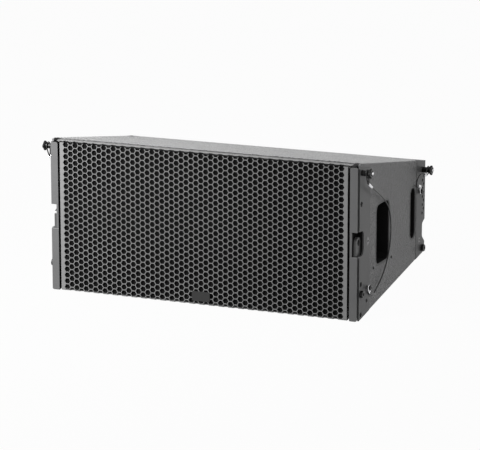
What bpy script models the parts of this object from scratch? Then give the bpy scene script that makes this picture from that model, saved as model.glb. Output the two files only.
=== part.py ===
"""Compact dual 10-inch line array loudspeaker with captive rigging links.

All pieces are drawn in the cabinet's own axes, with X to the right, Y from the
grille to the rear, and Z up its front face. The origin there is the centre of
the front face. The root empty then tips the wedge so that it rests on its
bottom panel.
"""

import math

import bmesh
import bpy
from mathutils import Matrix, Vector

MM = 0.001

# Cabinet
CABINET_WIDTH = 635 * MM
CABINET_DEPTH = 365 * MM
FRONT_HEIGHT = 298 * MM
REAR_HEIGHT = 181 * MM
PANEL_THICKNESS = 16.5 * MM
PANEL_SETBACK = 12 * MM
CLEARANCE = 0.3 * MM
SLIDING_CLEARANCE = 0.6 * MM

# Grille and what lies behind it
GRILLE_SIDE_GAP = 4.5 * MM
GRILLE_MARGIN = 1.5 * MM
GRILLE_SHEET = 1.5 * MM
GRILLE_FOLD_DEPTH = 9 * MM
GRILLE_PITCH = 39.4 * MM
GRILLE_BAR = 6.4 * MM
GRILLE_BORDER = 4 * MM
FOAM_THICKNESS = 4 * MM
BADGE_WIDTH = 37 * MM
BADGE_HEIGHT = 19 * MM
BADGE_THICKNESS = 0.8 * MM
BADGE_FROM_FOOT = 18 * MM

# Baffle and drive units
BAFFLE_FRONT = 20 * MM
BAFFLE_THICKNESS = 18 * MM
WOOFER_GAP = 1.85 * MM
WOOFER_FLANGE_WIDTH = 17 * MM
WOOFER_FLANGE_THICKNESS = 6 * MM
WOOFER_DEPTH = 103 * MM
CONE_DEPTH = 38 * MM
MAGNET_SHARE = 0.62
MAGNET_DEPTH = 31 * MM
BASKET_WINDOWS = 6
HORN_WIDTH = 76 * MM
HORN_HEIGHT = 228 * MM
HORN_DEPTH = 120 * MM
HORN_WALL = 3 * MM
HORN_FLANGE = 7 * MM
THROAT_DIAMETER = 38 * MM
DRIVER_DIAMETER = 140 * MM
DRIVER_DEPTH = 51 * MM

# Steel rigging brackets
STEEL = 3 * MM
BRACKET_PROUD = 0.5 * MM
CHANNEL_DEPTH = 26 * MM
CORNER_SLIT = 3.5 * MM
FRONT_PLATE_DEPTH = 62 * MM
REAR_PLATE_DEPTH = 49 * MM
FRONT_LINE = 16 * MM
REAR_LINE_FROM_BACK = 15 * MM
NOTCH_TOP = 21.5 * MM
NOTCH_BOTTOM = -25.5 * MM
NOTCH_DEPTH = 28.7 * MM
NOTCH_CORNER = 10 * MM
PLATE_HOLE = 10 * MM
PLATE_HOLE_FROM_TOP = 76.4 * MM
PLATE_HOLES_FROM_FOOT = (69 * MM, 11 * MM)
REAR_NOTCH_OVER_BOLT = (11 * MM, 56 * MM)
REAR_NOTCH_DEPTH = 14 * MM
REAR_NOTCH_TAPER = 7 * MM
ANGLE_HOLE = 6.4 * MM
ANGLE_HOLE_PITCH = 16.4 * MM
ANGLE_HOLE_UNDER_PIN = 13 * MM
ANGLE_HOLES_PER_COLUMN = 5
ANGLE_COLUMN_SPACING = 7.5 * MM

# Links that slide down out of the brackets
LINK_THICKNESS = 6 * MM
LINK_SLOT = 8.6 * MM
FRONT_LINK_WIDTH = 21 * MM
FRONT_LINK_TOP = 10 * MM
FRONT_LINK_HOLE_FROM_FOOT = 15 * MM
FRONT_LINK_TRAVEL = 34 * MM
FRONT_FINGER_HOLE = 11 * MM
REAR_LINK_WIDTH = 19 * MM
REAR_LINK_OVER_BOLT = 75 * MM
REAR_LINK_TRAVEL = 48 * MM
REAR_FINGER_HOLE = 9 * MM
FRONT_BOLT_FROM_FOOT = 51 * MM
REAR_BOLT_FROM_FOOT = 8.5 * MM
BOLT_DIAMETER = 8 * MM
BOLT_HEAD_DIAMETER = 14 * MM
BOLT_HEAD_HEIGHT = 5.5 * MM

# Quick-release pins
FRONT_PIN_FROM_TOP = 17 * MM
REAR_PIN_FROM_TOP = 16 * MM
PIN_DIAMETER = 8 * MM
PIN_BARREL_DIAMETER = 11.5 * MM
PIN_BARREL_LENGTH = 14 * MM
PIN_KNOB_DIAMETER = 19.5 * MM
PIN_KNOB_LOBE = 1.3 * MM
PIN_KNOB_LENGTH = 5.5 * MM
BUTTON_DIAMETER = 6 * MM
BUTTON_PROUD = 3 * MM
BUTTON_TRAVEL = 3 * MM

# Wire lanyards
WIRE_DIAMETER = 2.4 * MM
FERRULE_DIAMETER = 5.6 * MM
PIN_EYE_HALF_WIDTH = 11.5 * MM
PIN_EYE_HALF_HEIGHT = 15.4 * MM
PIN_EYE_STANDOFF = 11 * MM
ANCHOR_EYE_HALF_WIDTH = 6 * MM
ANCHOR_EYE_HALF_HEIGHT = 10.5 * MM
ANCHOR_NECK_DIAMETER = 5.4 * MM
ANCHOR_HEAD_DIAMETER = 10 * MM
ANCHOR_HEAD_HEIGHT = 3 * MM
WIRE_STANDOFF = 3.4 * MM
FRONT_ANCHOR_BEHIND_LINE = 34 * MM
FRONT_ANCHOR_FROM_FOOT = 56 * MM
REAR_ANCHOR_AHEAD_OF_LINE = 18 * MM
REAR_ANCHOR_FROM_TOP = 56 * MM

# Hand grips let into the side panels
FRONT_GRIP_LOW = (97 * MM, -60 * MM)
FRONT_GRIP_HIGH = (165 * MM, 50 * MM)
FRONT_GRIP_CORNER = 14 * MM
FRONT_GRIP_DEPTH = 54 * MM
REAR_GRIP_FROM_BACK = 68 * MM
REAR_GRIP_HEIGHT = -2 * MM
REAR_GRIP_WIDTH = 30 * MM
REAR_GRIP_LENGTH = 104 * MM
REAR_GRIP_DEPTH = 44 * MM
GRIP_WALL = 2.5 * MM

# Connector plate on the rear
CONNECTOR_PLATE_WIDTH = 160 * MM
CONNECTOR_PLATE_HEIGHT = 64 * MM
CONNECTOR_PLATE_THICKNESS = 2 * MM
SOCKET_SPACING = 70 * MM
SOCKET_DIAMETER = 24 * MM
SOCKET_BORE = 19 * MM
SOCKET_DEPTH = 22 * MM
SOCKET_FLANGE = (26 * MM, 31 * MM)

# Values worked out from the sizes above
HALF_WIDTH = CABINET_WIDTH / 2
SIDE_INNER = HALF_WIDTH - PANEL_THICKNESS
INNER_HALF_WIDTH = SIDE_INNER - CLEARANCE
WEDGE = math.atan2((FRONT_HEIGHT - REAR_HEIGHT) / 2, CABINET_DEPTH)
PLATE_OUTER = HALF_WIDTH + BRACKET_PROUD
PLATE_INNER = PLATE_OUTER - STEEL
CHANNEL_INNER = SIDE_INNER + STEEL
FRONT_CHANNEL_END = CHANNEL_DEPTH + 2 * STEEL
REAR_CHANNEL_START = CABINET_DEPTH - FRONT_CHANNEL_END
REAR_LINE = CABINET_DEPTH - REAR_LINE_FROM_BACK
LINK_CENTRE = (CHANNEL_INNER + PLATE_INNER) / 2
PIN_SEAT = PLATE_OUTER + CLEARANCE
PIN_KNOB_START = PIN_SEAT + PIN_BARREL_LENGTH
PIN_KNOB_END = PIN_KNOB_START + PIN_KNOB_LENGTH
PIN_TIP = CHANNEL_INNER - 2 * MM
SHANK_HOLE = PIN_DIAMETER + SLIDING_CLEARANCE
WIRE_X = PLATE_OUTER + WIRE_STANDOFF
PIN_EYE_X = PLATE_OUTER + PIN_EYE_STANDOFF
CENTRES = {"front": FRONT_LINE, "rear": REAR_LINE}
FRONT_TOP = FRONT_HEIGHT / 2
REAR_TOP = REAR_HEIGHT / 2
GRILLE_WIDTH = 2 * (SIDE_INNER - GRILLE_SIDE_GAP)
FRONT_PIN_HEIGHT = FRONT_TOP - FRONT_PIN_FROM_TOP
REAR_PIN_HEIGHT = REAR_TOP - REAR_PIN_FROM_TOP
FRONT_BOLT_HEIGHT = FRONT_BOLT_FROM_FOOT - FRONT_TOP
REAR_BOLT_HEIGHT = REAR_BOLT_FROM_FOOT - REAR_TOP
REAR_LINK_TOP = REAR_BOLT_HEIGHT + REAR_LINK_OVER_BOLT
FRONT_ANCHOR = (FRONT_LINE + FRONT_ANCHOR_BEHIND_LINE, FRONT_ANCHOR_FROM_FOOT - FRONT_TOP)
REAR_ANCHOR = (REAR_LINE - REAR_ANCHOR_AHEAD_OF_LINE, REAR_TOP - REAR_ANCHOR_FROM_TOP)
REAR_GRIP_CENTRE = (CABINET_DEPTH - REAR_GRIP_FROM_BACK, REAR_GRIP_HEIGHT)

# Free stretches of the lanyards, from the pin's eye to the anchor's: how far each point
# stands off the plate and behind the rigging line, and its share of the way up
FRONT_WIRE_SHAPE = (
    (11 * MM, 22 * MM, 1),
    (9.8 * MM, 38 * MM, 0.9665),
    (7.6 * MM, 66 * MM, 0.9068),
    (5 * MM, 99 * MM, 0.8327),
    (3.6 * MM, 131 * MM, 0.7251),
    (3.4 * MM, 143 * MM, 0.6391),
    (3.4 * MM, 148.4 * MM, 0.5339),
    (3.4 * MM, 147.4 * MM, 0.4192),
    (3.4 * MM, 140.5 * MM, 0.3093),
    (3.4 * MM, 127 * MM, 0.2089),
    (3.4 * MM, 109 * MM, 0.1252),
    (3.4 * MM, 92.5 * MM, 0.0727),
    (3.4 * MM, 74 * MM, 0.0296),
    (3.4 * MM, 55.4 * MM, 0),
)
REAR_WIRE_SHAPE = (
    (11 * MM, -21 * MM, 1),
    (10 * MM, -29 * MM, 1.12),
    (8.4 * MM, -37.5 * MM, 1.12),
    (6 * MM, -43.5 * MM, 0.82),
    (4.2 * MM, -45 * MM, 0.4242),
    (3.4 * MM, -41.5 * MM, 0.0909),
    (3.4 * MM, -34.5 * MM, 0),
)
FRONT_WIRE_ENDS = (-30.5 * MM, -16.7 * MM)
REAR_WIRE_ENDS = (-4.5 * MM, 14.5 * MM)

TURN = {
    "X": Matrix(((0, 0, 1), (1, 0, 0), (0, 1, 0))).to_4x4(),
    "Y": Matrix(((1, 0, 0), (0, 0, -1), (0, 1, 0))).to_4x4(),
    "Z": Matrix.Identity(4),
}


def clear_scene():
    for obj in list(bpy.data.objects):
        bpy.data.objects.remove(obj, do_unlink=True)


clear_scene()
parts = bpy.data.collections.new("line_array_speaker")
cutters = bpy.data.collections.new("cutters")
bpy.context.scene.collection.children.link(parts)
bpy.context.scene.collection.children.link(cutters)


# Heights of the wedge at a depth


def outer_height(y):
    return FRONT_HEIGHT / 2 - y * math.tan(WEDGE)


def inner_height(y):
    return outer_height(y) - (PANEL_THICKNESS + CLEARANCE) / math.cos(WEDGE)


# The woofers fill the room beside the horn, or the height of the baffle where that is less
WOOFER_ROOM = INNER_HALF_WIDTH - HORN_WIDTH / 2 - HORN_FLANGE
WOOFER_DIAMETER = min(WOOFER_ROOM, 2 * inner_height(BAFFLE_FRONT)) - 2 * WOOFER_GAP
WOOFER_OFFSET = INNER_HALF_WIDTH - WOOFER_GAP - WOOFER_DIAMETER / 2
MAGNET_DIAMETER = WOOFER_DIAMETER * MAGNET_SHARE


# Materials


def material(name, grey, roughness, metallic=0.0):
    found = bpy.data.materials.get(name)
    if found:
        return found
    made = bpy.data.materials.new(name)
    made.use_nodes = True
    shader = made.node_tree.nodes["Principled BSDF"]
    shader.inputs["Base Color"].default_value = (grey, grey, grey, 1)
    shader.inputs["Roughness"].default_value = roughness
    shader.inputs["Metallic"].default_value = metallic
    made.diffuse_color = (grey, grey, grey, 1)
    return made


MATERIALS = {
    "coating": (0.045, 0.75, 0.0),
    "steel": (0.05, 0.5, 0.3),
    "bright": (0.6, 0.3, 1.0),
    "black": (0.01, 0.6, 0.0),
    "foam": (0.008, 0.95, 0.0),
    "wood": (0.25, 0.7, 0.0),
    "cone": (0.02, 0.8, 0.0),
    "wire": (0.015, 0.45, 0.2),
}


# Outlines in a plane


def arc(centre, radius, start, end, steps):
    points = []
    for step in range(steps + 1):
        angle = start + (end - start) * step / steps
        points.append((centre[0] + radius * math.cos(angle), centre[1] + radius * math.sin(angle)))
    return points


def circle(centre, diameter, steps=10):
    return arc(centre, diameter / 2, 0, 2 * math.pi, steps)[:-1]


def obround(centre, width, length, steps=5):
    """Upright slot with round ends; length is measured over the ends."""
    reach = (length - width) / 2
    top = arc((centre[0], centre[1] + reach), width / 2, 0, math.pi, steps)
    bottom = arc((centre[0], centre[1] - reach), width / 2, math.pi, 2 * math.pi, steps)
    return top + bottom


def rounded_box(low, high, radius, steps=3):
    quarter = math.pi / 2
    corners = (
        (high[0] - radius, high[1] - radius),
        (low[0] + radius, high[1] - radius),
        (low[0] + radius, low[1] + radius),
        (high[0] - radius, low[1] + radius),
    )
    points = []
    for index, corner in enumerate(corners):
        points += arc(corner, radius, index * quarter, (index + 1) * quarter, steps)
    return points


# Solids


def add(obj, finish, collection=parts):
    collection.objects.link(obj)
    if finish:
        obj.data.materials.clear()
        obj.data.materials.append(material(finish, *MATERIALS[finish]))
    return obj


def to_mesh(obj, place=None):
    """A mesh object made from what the curve or modified object gives, in cabinet axes."""
    bpy.context.view_layer.update()
    evaluated = obj.evaluated_get(bpy.context.evaluated_depsgraph_get())
    mesh = bpy.data.meshes.new_from_object(evaluated)
    mesh.transform(place or obj.matrix_world)
    shape = bmesh.new()
    shape.from_mesh(mesh)
    bmesh.ops.remove_doubles(shape, verts=shape.verts, dist=0.001 * MM)
    bmesh.ops.recalc_face_normals(shape, faces=shape.faces)
    shape.to_mesh(mesh)
    shape.free()
    mesh.name = obj.name
    return mesh


def object_of_curve(name, curve, place, finish):
    source = bpy.data.objects.new(name + "_curve", curve)
    bpy.context.scene.collection.objects.link(source)
    mesh = to_mesh(source, place)
    bpy.data.objects.remove(source, do_unlink=True)
    return add(bpy.data.objects.new(name, mesh), finish)


def plate(name, axis, low, high, outline, finish=None, holes=()):
    """A plate whose outline lies square to the axis, from low to high along it."""
    curve = bpy.data.curves.new(name, "CURVE")
    curve.dimensions = "2D"
    curve.fill_mode = "BOTH"
    curve.extrude = (high - low) / 2
    for points in (outline, *holes):
        spline = curve.splines.new("POLY")
        spline.points.add(len(points) - 1)
        spline.use_cyclic_u = True
        for target, (u, v) in zip(spline.points, points):
            target.co = (u, v, 0, 1)
    middle = Vector((0, 0, 0))
    middle["XYZ".index(axis)] = (low + high) / 2
    return object_of_curve(name, curve, Matrix.Translation(middle) @ TURN[axis], finish)


def tube(name, points, diameter, finish, closed=False):
    curve = bpy.data.curves.new(name, "CURVE")
    curve.dimensions = "3D"
    curve.bevel_depth = diameter / 2
    curve.bevel_resolution = 1 if closed else 2
    curve.use_fill_caps = not closed
    spline = curve.splines.new("POLY")
    spline.points.add(len(points) - 1)
    spline.use_cyclic_u = closed
    for target, point in zip(spline.points, points):
        target.co = (*point, 1)
    made = object_of_curve(name, curve, Matrix.Identity(4), finish)
    made.data.shade_smooth()
    return made


def rod(name, start, end, diameter, finish=None, steps=10):
    """A cylinder between two points."""
    start = Vector(start)
    run = Vector(end) - start
    shape = bmesh.new()
    bmesh.ops.create_cone(
        shape,
        cap_ends=True,
        segments=steps,
        radius1=diameter / 2,
        radius2=diameter / 2,
        depth=run.length,
        matrix=Matrix.Translation(start + run / 2) @ run.to_track_quat("Z", "Y").to_matrix().to_4x4(),
    )
    mesh = bpy.data.meshes.new(name)
    shape.to_mesh(mesh)
    shape.free()
    return add(bpy.data.objects.new(name, mesh), finish)


def turned(name, axis, centre, profile, finish, steps=24):
    """A body turned about the axis; the profile's (radius, place) pairs run down its outer side."""
    sign = -1 if axis == "Y" else 1
    closed = profile[0][0] > 0
    mesh = bpy.data.meshes.new(name)
    vertices = [(radius, 0, sign * along) for radius, along in profile]
    edges = [(index, index + 1) for index in range(len(profile) - 1)]
    if closed:
        edges.append((len(profile) - 1, 0))
    mesh.from_pydata(vertices, edges, [])
    source = bpy.data.objects.new(name + "_profile", mesh)
    bpy.context.scene.collection.objects.link(source)
    screw = source.modifiers.new("turn", "SCREW")
    screw.steps = steps
    screw.render_steps = steps
    screw.use_merge_vertices = True
    screw.merge_threshold = 0.01 * MM
    solid = to_mesh(source, Matrix.Translation(Vector(centre)) @ TURN[axis])
    bpy.data.objects.remove(source, do_unlink=True)
    made = add(bpy.data.objects.new(name, solid), finish)
    made.data.shade_smooth()
    made.data.set_sharp_from_angle(angle=math.radians(35))
    return made


def combine(obj, other, operation="DIFFERENCE"):
    """Cuts, joins or trims the object with another one, which becomes a hidden guide."""
    parts.objects.unlink(other)
    cutters.objects.link(other)
    other.hide_render = True
    other.display_type = "WIRE"
    modifier = obj.modifiers.new(other.name, "BOOLEAN")
    modifier.operation = operation
    modifier.object = other
    return obj


def origin_at(obj, point):
    obj.data.transform(Matrix.Translation(-Vector(point)))
    obj.location = point
    return obj


def other_hand(obj, name):
    """The mirror image of a right-hand piece, as its own object."""
    mesh = to_mesh(obj)
    mesh.transform(Matrix.Diagonal((-1, 1, 1, 1)))
    mesh.flip_normals()
    mesh.name = name
    made = bpy.data.objects.new(name, mesh)
    parts.objects.link(made)
    place = obj.matrix_world.translation
    return origin_at(made, (-place.x, place.y, place.z))


def both_hands(make, *arguments):
    """Builds the right-hand pieces with the function, then their mirror images."""
    for obj in make(*arguments):
        other_hand(obj, obj.name.replace("_right", "_left"))


def smooth_route(points, spacing, first_from, last_to):
    """Points along a Catmull-Rom curve that leaves and arrives in line with two outer points."""
    route = [Vector(point) for point in points]
    leaving = (route[0] - Vector(first_from)).normalized() * (route[1] - route[0]).length
    arriving = (Vector(last_to) - route[-1]).normalized() * (route[-1] - route[-2]).length
    ends = [route[1] - 2 * leaving, *route, route[-2] + 2 * arriving]
    found = []
    for before, start, end, after in zip(ends, ends[1:], ends[2:], ends[3:]):
        count = max(2, round((end - start).length / spacing))
        for step in range(count):
            t = step / count
            bend = 2 * before - 5 * start + 4 * end - after
            twist = 3 * start - before - 3 * end + after
            found.append((2 * start + (end - before) * t + bend * t**2 + twist * t**3) / 2)
    return [*found, route[-1]]


# Wooden cabinet


def wedge_guide(name):
    """The cabinet's outer wedge, wider than any piece that it trims."""
    start, end = -CHANNEL_DEPTH, CABINET_DEPTH + CHANNEL_DEPTH
    front, rear = outer_height(start), outer_height(end)
    outline = ((start, -front), (end, -rear), (end, rear), (start, front))
    return plate(name, "X", -CABINET_WIDTH, CABINET_WIDTH, outline)


def make_top_and_bottom():
    for name, sign in (("top_panel", 1), ("bottom_panel", -1)):
        drop = PANEL_THICKNESS / math.cos(WEDGE)
        outline = []
        for y, inset in (
            (PANEL_SETBACK, 0),
            (CABINET_DEPTH, 0),
            (CABINET_DEPTH, drop),
            (PANEL_SETBACK, drop),
        ):
            outline.append((y, sign * (outer_height(y) - inset)))
        plate(name, "X", -INNER_HALF_WIDTH, INNER_HALF_WIDTH, outline, "coating")


def make_side_panel():
    start = FRONT_CHANNEL_END + CLEARANCE
    end = REAR_CHANNEL_START - CLEARANCE
    outline = [(start, -outer_height(start)), (end, -outer_height(end))]
    outline += [(end, outer_height(end)), (start, outer_height(start))]
    front_low = [value - CLEARANCE for value in FRONT_GRIP_LOW]
    front_high = [value + CLEARANCE for value in FRONT_GRIP_HIGH]
    holes = (
        rounded_box(front_low, front_high, FRONT_GRIP_CORNER + CLEARANCE),
        obround(REAR_GRIP_CENTRE, REAR_GRIP_WIDTH + 2 * CLEARANCE, REAR_GRIP_LENGTH + 2 * CLEARANCE),
    )
    panel = plate("side_panel_right", "X", SIDE_INNER, HALF_WIDTH, outline, "coating", holes)
    rebate = PLATE_INNER - CLEARANCE
    tall = FRONT_HEIGHT
    for name, low, high in (
        ("front_rebate", 0, FRONT_PLATE_DEPTH + CLEARANCE),
        ("rear_rebate", CABINET_DEPTH - REAR_PLATE_DEPTH - CLEARANCE, CABINET_DEPTH),
    ):
        area = ((low, -tall), (high, -tall), (high, tall), (low, tall))
        combine(panel, plate(name, "X", rebate, CABINET_WIDTH, area))
    return [panel]


def make_rear_panel():
    front = CABINET_DEPTH - PANEL_THICKNESS
    outline = [(front, -inner_height(front)), (CABINET_DEPTH, -inner_height(CABINET_DEPTH))]
    outline += [(CABINET_DEPTH, inner_height(CABINET_DEPTH)), (front, inner_height(front))]
    panel = plate("rear_panel", "X", -INNER_HALF_WIDTH, INNER_HALF_WIDTH, outline, "coating")
    for name, side in (("input_hole", -1), ("link_hole", 1)):
        hole = circle((side * SOCKET_SPACING / 2, 0), SOCKET_DIAMETER + 2 * CLEARANCE, 16)
        combine(panel, plate(name, "Y", CABINET_DEPTH / 2, 2 * CABINET_DEPTH, hole))


def make_baffle():
    back = BAFFLE_FRONT + BAFFLE_THICKNESS
    half = inner_height(back)
    outline = [(-INNER_HALF_WIDTH, -half), (INNER_HALF_WIDTH, -half)]
    outline += [(INNER_HALF_WIDTH, half), (-INNER_HALF_WIDTH, half)]
    opening = WOOFER_DIAMETER - 2 * WOOFER_FLANGE_WIDTH + 16 * MM
    reach = HORN_WALL + CLEARANCE * 3
    mouth = (HORN_WIDTH / 2 + reach, HORN_HEIGHT / 2 + reach)
    holes = (
        circle((-WOOFER_OFFSET, 0), opening, 24),
        circle((WOOFER_OFFSET, 0), opening, 24),
        rounded_box((-mouth[0], -mouth[1]), mouth, 12 * MM),
    )
    plate("front_baffle", "Y", BAFFLE_FRONT, back, outline, "wood", holes)


# Grille with a pattern of hexagons, folded back along its top and bottom


def hexagon_centres(half_width, half_height):
    column_step = GRILLE_PITCH * math.sqrt(3) / 2
    columns = int(half_width / column_step)
    rows = int(half_height / GRILLE_PITCH) + 1
    for column in range(-columns, columns + 1):
        for row in range(-rows, rows + 1):
            x = column * column_step
            z = (row + column % 2 / 2) * GRILLE_PITCH
            if abs(z) < half_height:
                yield x, z


def clipped(outline, limit):
    """What is left of a convex outline between -limit and limit in height."""
    for sign in (-1, 1):
        kept = []
        for start, end in zip(outline, outline[1:] + outline[:1]):
            start_inside = sign * start[1] <= limit
            if start_inside:
                kept.append(start)
            if start_inside != (sign * end[1] <= limit):
                share = (sign * limit - start[1]) / (end[1] - start[1])
                kept.append((start[0] + share * (end[0] - start[0]), sign * limit))
        outline = kept
    return outline


def make_grille():
    half_width = GRILLE_WIDTH / 2
    fold = outer_height(0) - GRILLE_MARGIN - GRILLE_SHEET
    edge = fold + GRILLE_FOLD_DEPTH
    outline = ((-half_width, -edge), (half_width, -edge), (half_width, edge), (-half_width, edge))
    across_points = (GRILLE_PITCH - GRILLE_BAR) * 2 / math.sqrt(3)
    reach_x = half_width - GRILLE_BORDER - across_points / 2
    reach_z = fold - GRILLE_BORDER
    holes = []
    for centre in hexagon_centres(reach_x, reach_z):
        holes.append(clipped(circle(centre, across_points, 6), reach_z))
    grille = plate("front_grille", "Y", 0, GRILLE_SHEET, outline, "steel", holes)
    shape = bmesh.new()
    shape.from_mesh(grille.data)
    for sign in (-1, 1):
        geometry = shape.verts[:] + shape.edges[:] + shape.faces[:]
        bmesh.ops.bisect_plane(shape, geom=geometry, plane_co=(0, 0, sign * fold), plane_no=(0, 0, 1))
    for vertex in shape.verts:
        past_fold = abs(vertex.co.z) - fold
        if past_fold > -0.001 * MM:
            depth = vertex.co.y
            vertex.co.z = math.copysign(fold + GRILLE_SHEET - depth, vertex.co.z)
            vertex.co.y = depth + past_fold
    shape.to_mesh(grille.data)
    shape.free()


def make_foam_and_badge():
    half_width = GRILLE_WIDTH / 2 - GRILLE_BORDER
    half_height = outer_height(0) - GRILLE_MARGIN - GRILLE_BORDER
    front = 2 * GRILLE_SHEET
    foam = rounded_box((-half_width, -half_height), (half_width, half_height), 2 * MM, 1)
    plate("grille_foam", "Y", front, front + FOAM_THICKNESS, foam, "foam")
    middle = BADGE_FROM_FOOT - FRONT_TOP
    low = (-BADGE_WIDTH / 2, middle - BADGE_HEIGHT / 2)
    high = (BADGE_WIDTH / 2, middle + BADGE_HEIGHT / 2)
    badge = rounded_box(low, high, 3 * MM)
    plate("badge_plate", "Y", -CLEARANCE - BADGE_THICKNESS, -CLEARANCE, badge, "black")


# Drive units


def make_woofer():
    centre = (WOOFER_OFFSET, 0, 0)
    outer = WOOFER_DIAMETER / 2
    opening = outer - WOOFER_FLANGE_WIDTH
    seat = BAFFLE_FRONT - CLEARANCE
    front = seat - WOOFER_FLANGE_THICKNESS
    back = front + WOOFER_DEPTH - MAGNET_DEPTH
    waist = MAGNET_DIAMETER / 2 - 8 * MM
    wall = 3.5 * MM
    basket = turned(
        "woofer_basket_right",
        "Y",
        centre,
        (
            (outer, front),
            (outer, seat),
            (opening + 6 * MM, seat),
            (opening + wall, seat + 14 * MM),
            (waist, back - 10 * MM),
            (waist, back),
            (waist / 3, back),
            (waist / 3, back - wall),
            (waist - wall, back - wall),
            (waist - wall, back - 11 * MM),
            (opening, seat + 12 * MM),
            (opening, front),
        ),
        "black",
        16,
    )
    slope_middle = (seat + back) / 2
    for index in range(BASKET_WINDOWS):
        angle = 2 * math.pi * (index + 0.5) / BASKET_WINDOWS
        outward = Vector((math.cos(angle), 0, math.sin(angle)))
        start = Vector((WOOFER_OFFSET, slope_middle, 0)) + outward * waist * 0.75
        end = Vector((WOOFER_OFFSET, slope_middle, 0)) + outward * outer
        combine(basket, rod(f"basket_window_{index}", start, end, (back - seat) * 0.55, None, 6))
    cone_edge = opening - CLEARANCE
    roll_inner = cone_edge - 13 * MM
    neck = 34 * MM
    cone_front = front + 8 * MM
    cone_back = cone_front + CONE_DEPTH
    skin = 1.4 * MM
    roll = arc(
        ((cone_edge + roll_inner) / 2, cone_front),
        -(cone_edge - roll_inner) / 2 + 1 * MM,
        0,
        math.pi,
        4,
    )
    crest = [(radius, 2 * cone_front - along) for radius, along in roll]
    cap = [(neck * math.sin(turn), cone_back - 12 * MM * math.cos(turn)) for turn in (0.5, 1.0)]
    turned(
        "woofer_cone_right",
        "Y",
        centre,
        (
            (0, cone_back - 12 * MM),
            *cap,
            (neck, cone_back - skin),
            *[(radius, 2 * cone_front - along) for radius, along in crest],
            (cone_edge, cone_front),
            (cone_edge, cone_front + skin),
            *[(radius, 2 * cone_front - along + skin) for radius, along in reversed(crest)],
            (neck, cone_back + skin),
            (0, cone_back + skin),
        ),
        "cone",
        16,
    )
    magnet_front = back + CLEARANCE
    magnet_back = magnet_front + MAGNET_DEPTH
    edge = MAGNET_DIAMETER / 2
    turned(
        "woofer_magnet_right",
        "Y",
        centre,
        (
            (0, back - 10 * MM),
            (waist / 3 - 1.5 * MM, back - 10 * MM),
            (waist / 3 - 1.5 * MM, magnet_front),
            (edge - 6 * MM, magnet_front),
            (edge - 6 * MM, magnet_front + 5 * MM),
            (edge, magnet_front + 5 * MM),
            (edge, magnet_back - 6 * MM),
            (edge - 6 * MM, magnet_back - 6 * MM),
            (edge - 6 * MM, magnet_back),
            (0, magnet_back),
        ),
        "black",
        16,
    )
    return [bpy.data.objects[f"woofer_{piece}_right"] for piece in ("basket", "cone", "magnet")]


def horn_section(width, height, roundness, y, steps=16):
    """A closed loop between an ellipse (roundness 1) and a box (roundness near 0)."""
    loop = []
    for step in range(steps):
        angle = 2 * math.pi * (step + 0.5) / steps
        cosine, sine = math.cos(angle), math.sin(angle)
        x = math.copysign(abs(cosine) ** roundness, cosine) * width / 2
        z = math.copysign(abs(sine) ** roundness, sine) * height / 2
        loop.append((x, y, z))
    return loop


def make_horn():
    front = BAFFLE_FRONT - CLEARANCE - HORN_WALL
    throat = THROAT_DIAMETER
    shape = bmesh.new()
    rings = []
    for share in (0, 0.4, 0.75, 1):
        narrow = share**0.7
        width = HORN_WIDTH + (throat - HORN_WIDTH) * narrow
        height = HORN_HEIGHT + (throat - HORN_HEIGHT) * share**1.6
        loop = horn_section(width, height, 0.3 + 0.7 * share, front + HORN_DEPTH * share)
        rings.append([shape.verts.new(point) for point in loop])
    for near, far in zip(rings, rings[1:]):
        for index, vertex in enumerate(near):
            following = (index + 1) % len(near)
            shape.faces.new((vertex, near[following], far[following], far[index]))
    bmesh.ops.recalc_face_normals(shape, faces=shape.faces)
    mesh = bpy.data.meshes.new("waveguide")
    shape.to_mesh(mesh)
    shape.free()
    horn = add(bpy.data.objects.new("waveguide", mesh), "black")
    shell = horn.modifiers.new("wall", "SOLIDIFY")
    shell.thickness = HORN_WALL
    shell.offset = 1
    shell.use_rim = True
    half = (HORN_WIDTH / 2 + HORN_FLANGE, HORN_HEIGHT / 2 + HORN_FLANGE)
    wall = HORN_WALL / 2
    mouth = [(x, z) for x, _, z in horn_section(HORN_WIDTH + wall, HORN_HEIGHT + wall, 0.3, 0)]
    outline = rounded_box((-half[0], -half[1]), half, 8 * MM)
    flange = plate("horn_flange", "Y", front, front + HORN_WALL, outline, None, (mouth,))
    combine(horn, flange, "UNION")


def make_compression_driver():
    front = BAFFLE_FRONT + HORN_DEPTH
    back = front + DRIVER_DEPTH
    radius = DRIVER_DIAMETER / 2
    neck = THROAT_DIAMETER / 2 + 14 * MM
    turned(
        "compression_driver",
        "Y",
        (0, 0, 0),
        (
            (0, front),
            (neck, front),
            (neck, front + 6 * MM),
            (radius - 4 * MM, front + 6 * MM),
            (radius, front + 10 * MM),
            (radius, back - 14 * MM),
            (radius - 4 * MM, back - 10 * MM),
            (radius - 20 * MM, back - 8 * MM),
            (radius - 20 * MM, back),
            (0, back),
        ),
        "black",
        16,
    )


# Steel brackets, links and their bolts


def channel_outline(front, back):
    """Section of the open channel: lip, inner wall and rear wall, without its outer side."""
    return (
        (SIDE_INNER, front),
        (PLATE_INNER + BRACKET_PROUD * 2, front),
        (PLATE_INNER + BRACKET_PROUD * 2, front + STEEL),
        (CHANNEL_INNER, front + STEEL),
        (CHANNEL_INNER, back - STEEL),
        (PLATE_INNER + BRACKET_PROUD * 2, back - STEEL),
        (PLATE_INNER + BRACKET_PROUD * 2, back),
        (SIDE_INNER, back),
    )


def cross_hole(name, y, z):
    """A hole through the whole bracket, square to the cabinet's side."""
    return rod(name, (SIDE_INNER - STEEL, y, z), (PLATE_OUTER + STEEL, y, z), SHANK_HOLE)


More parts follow.
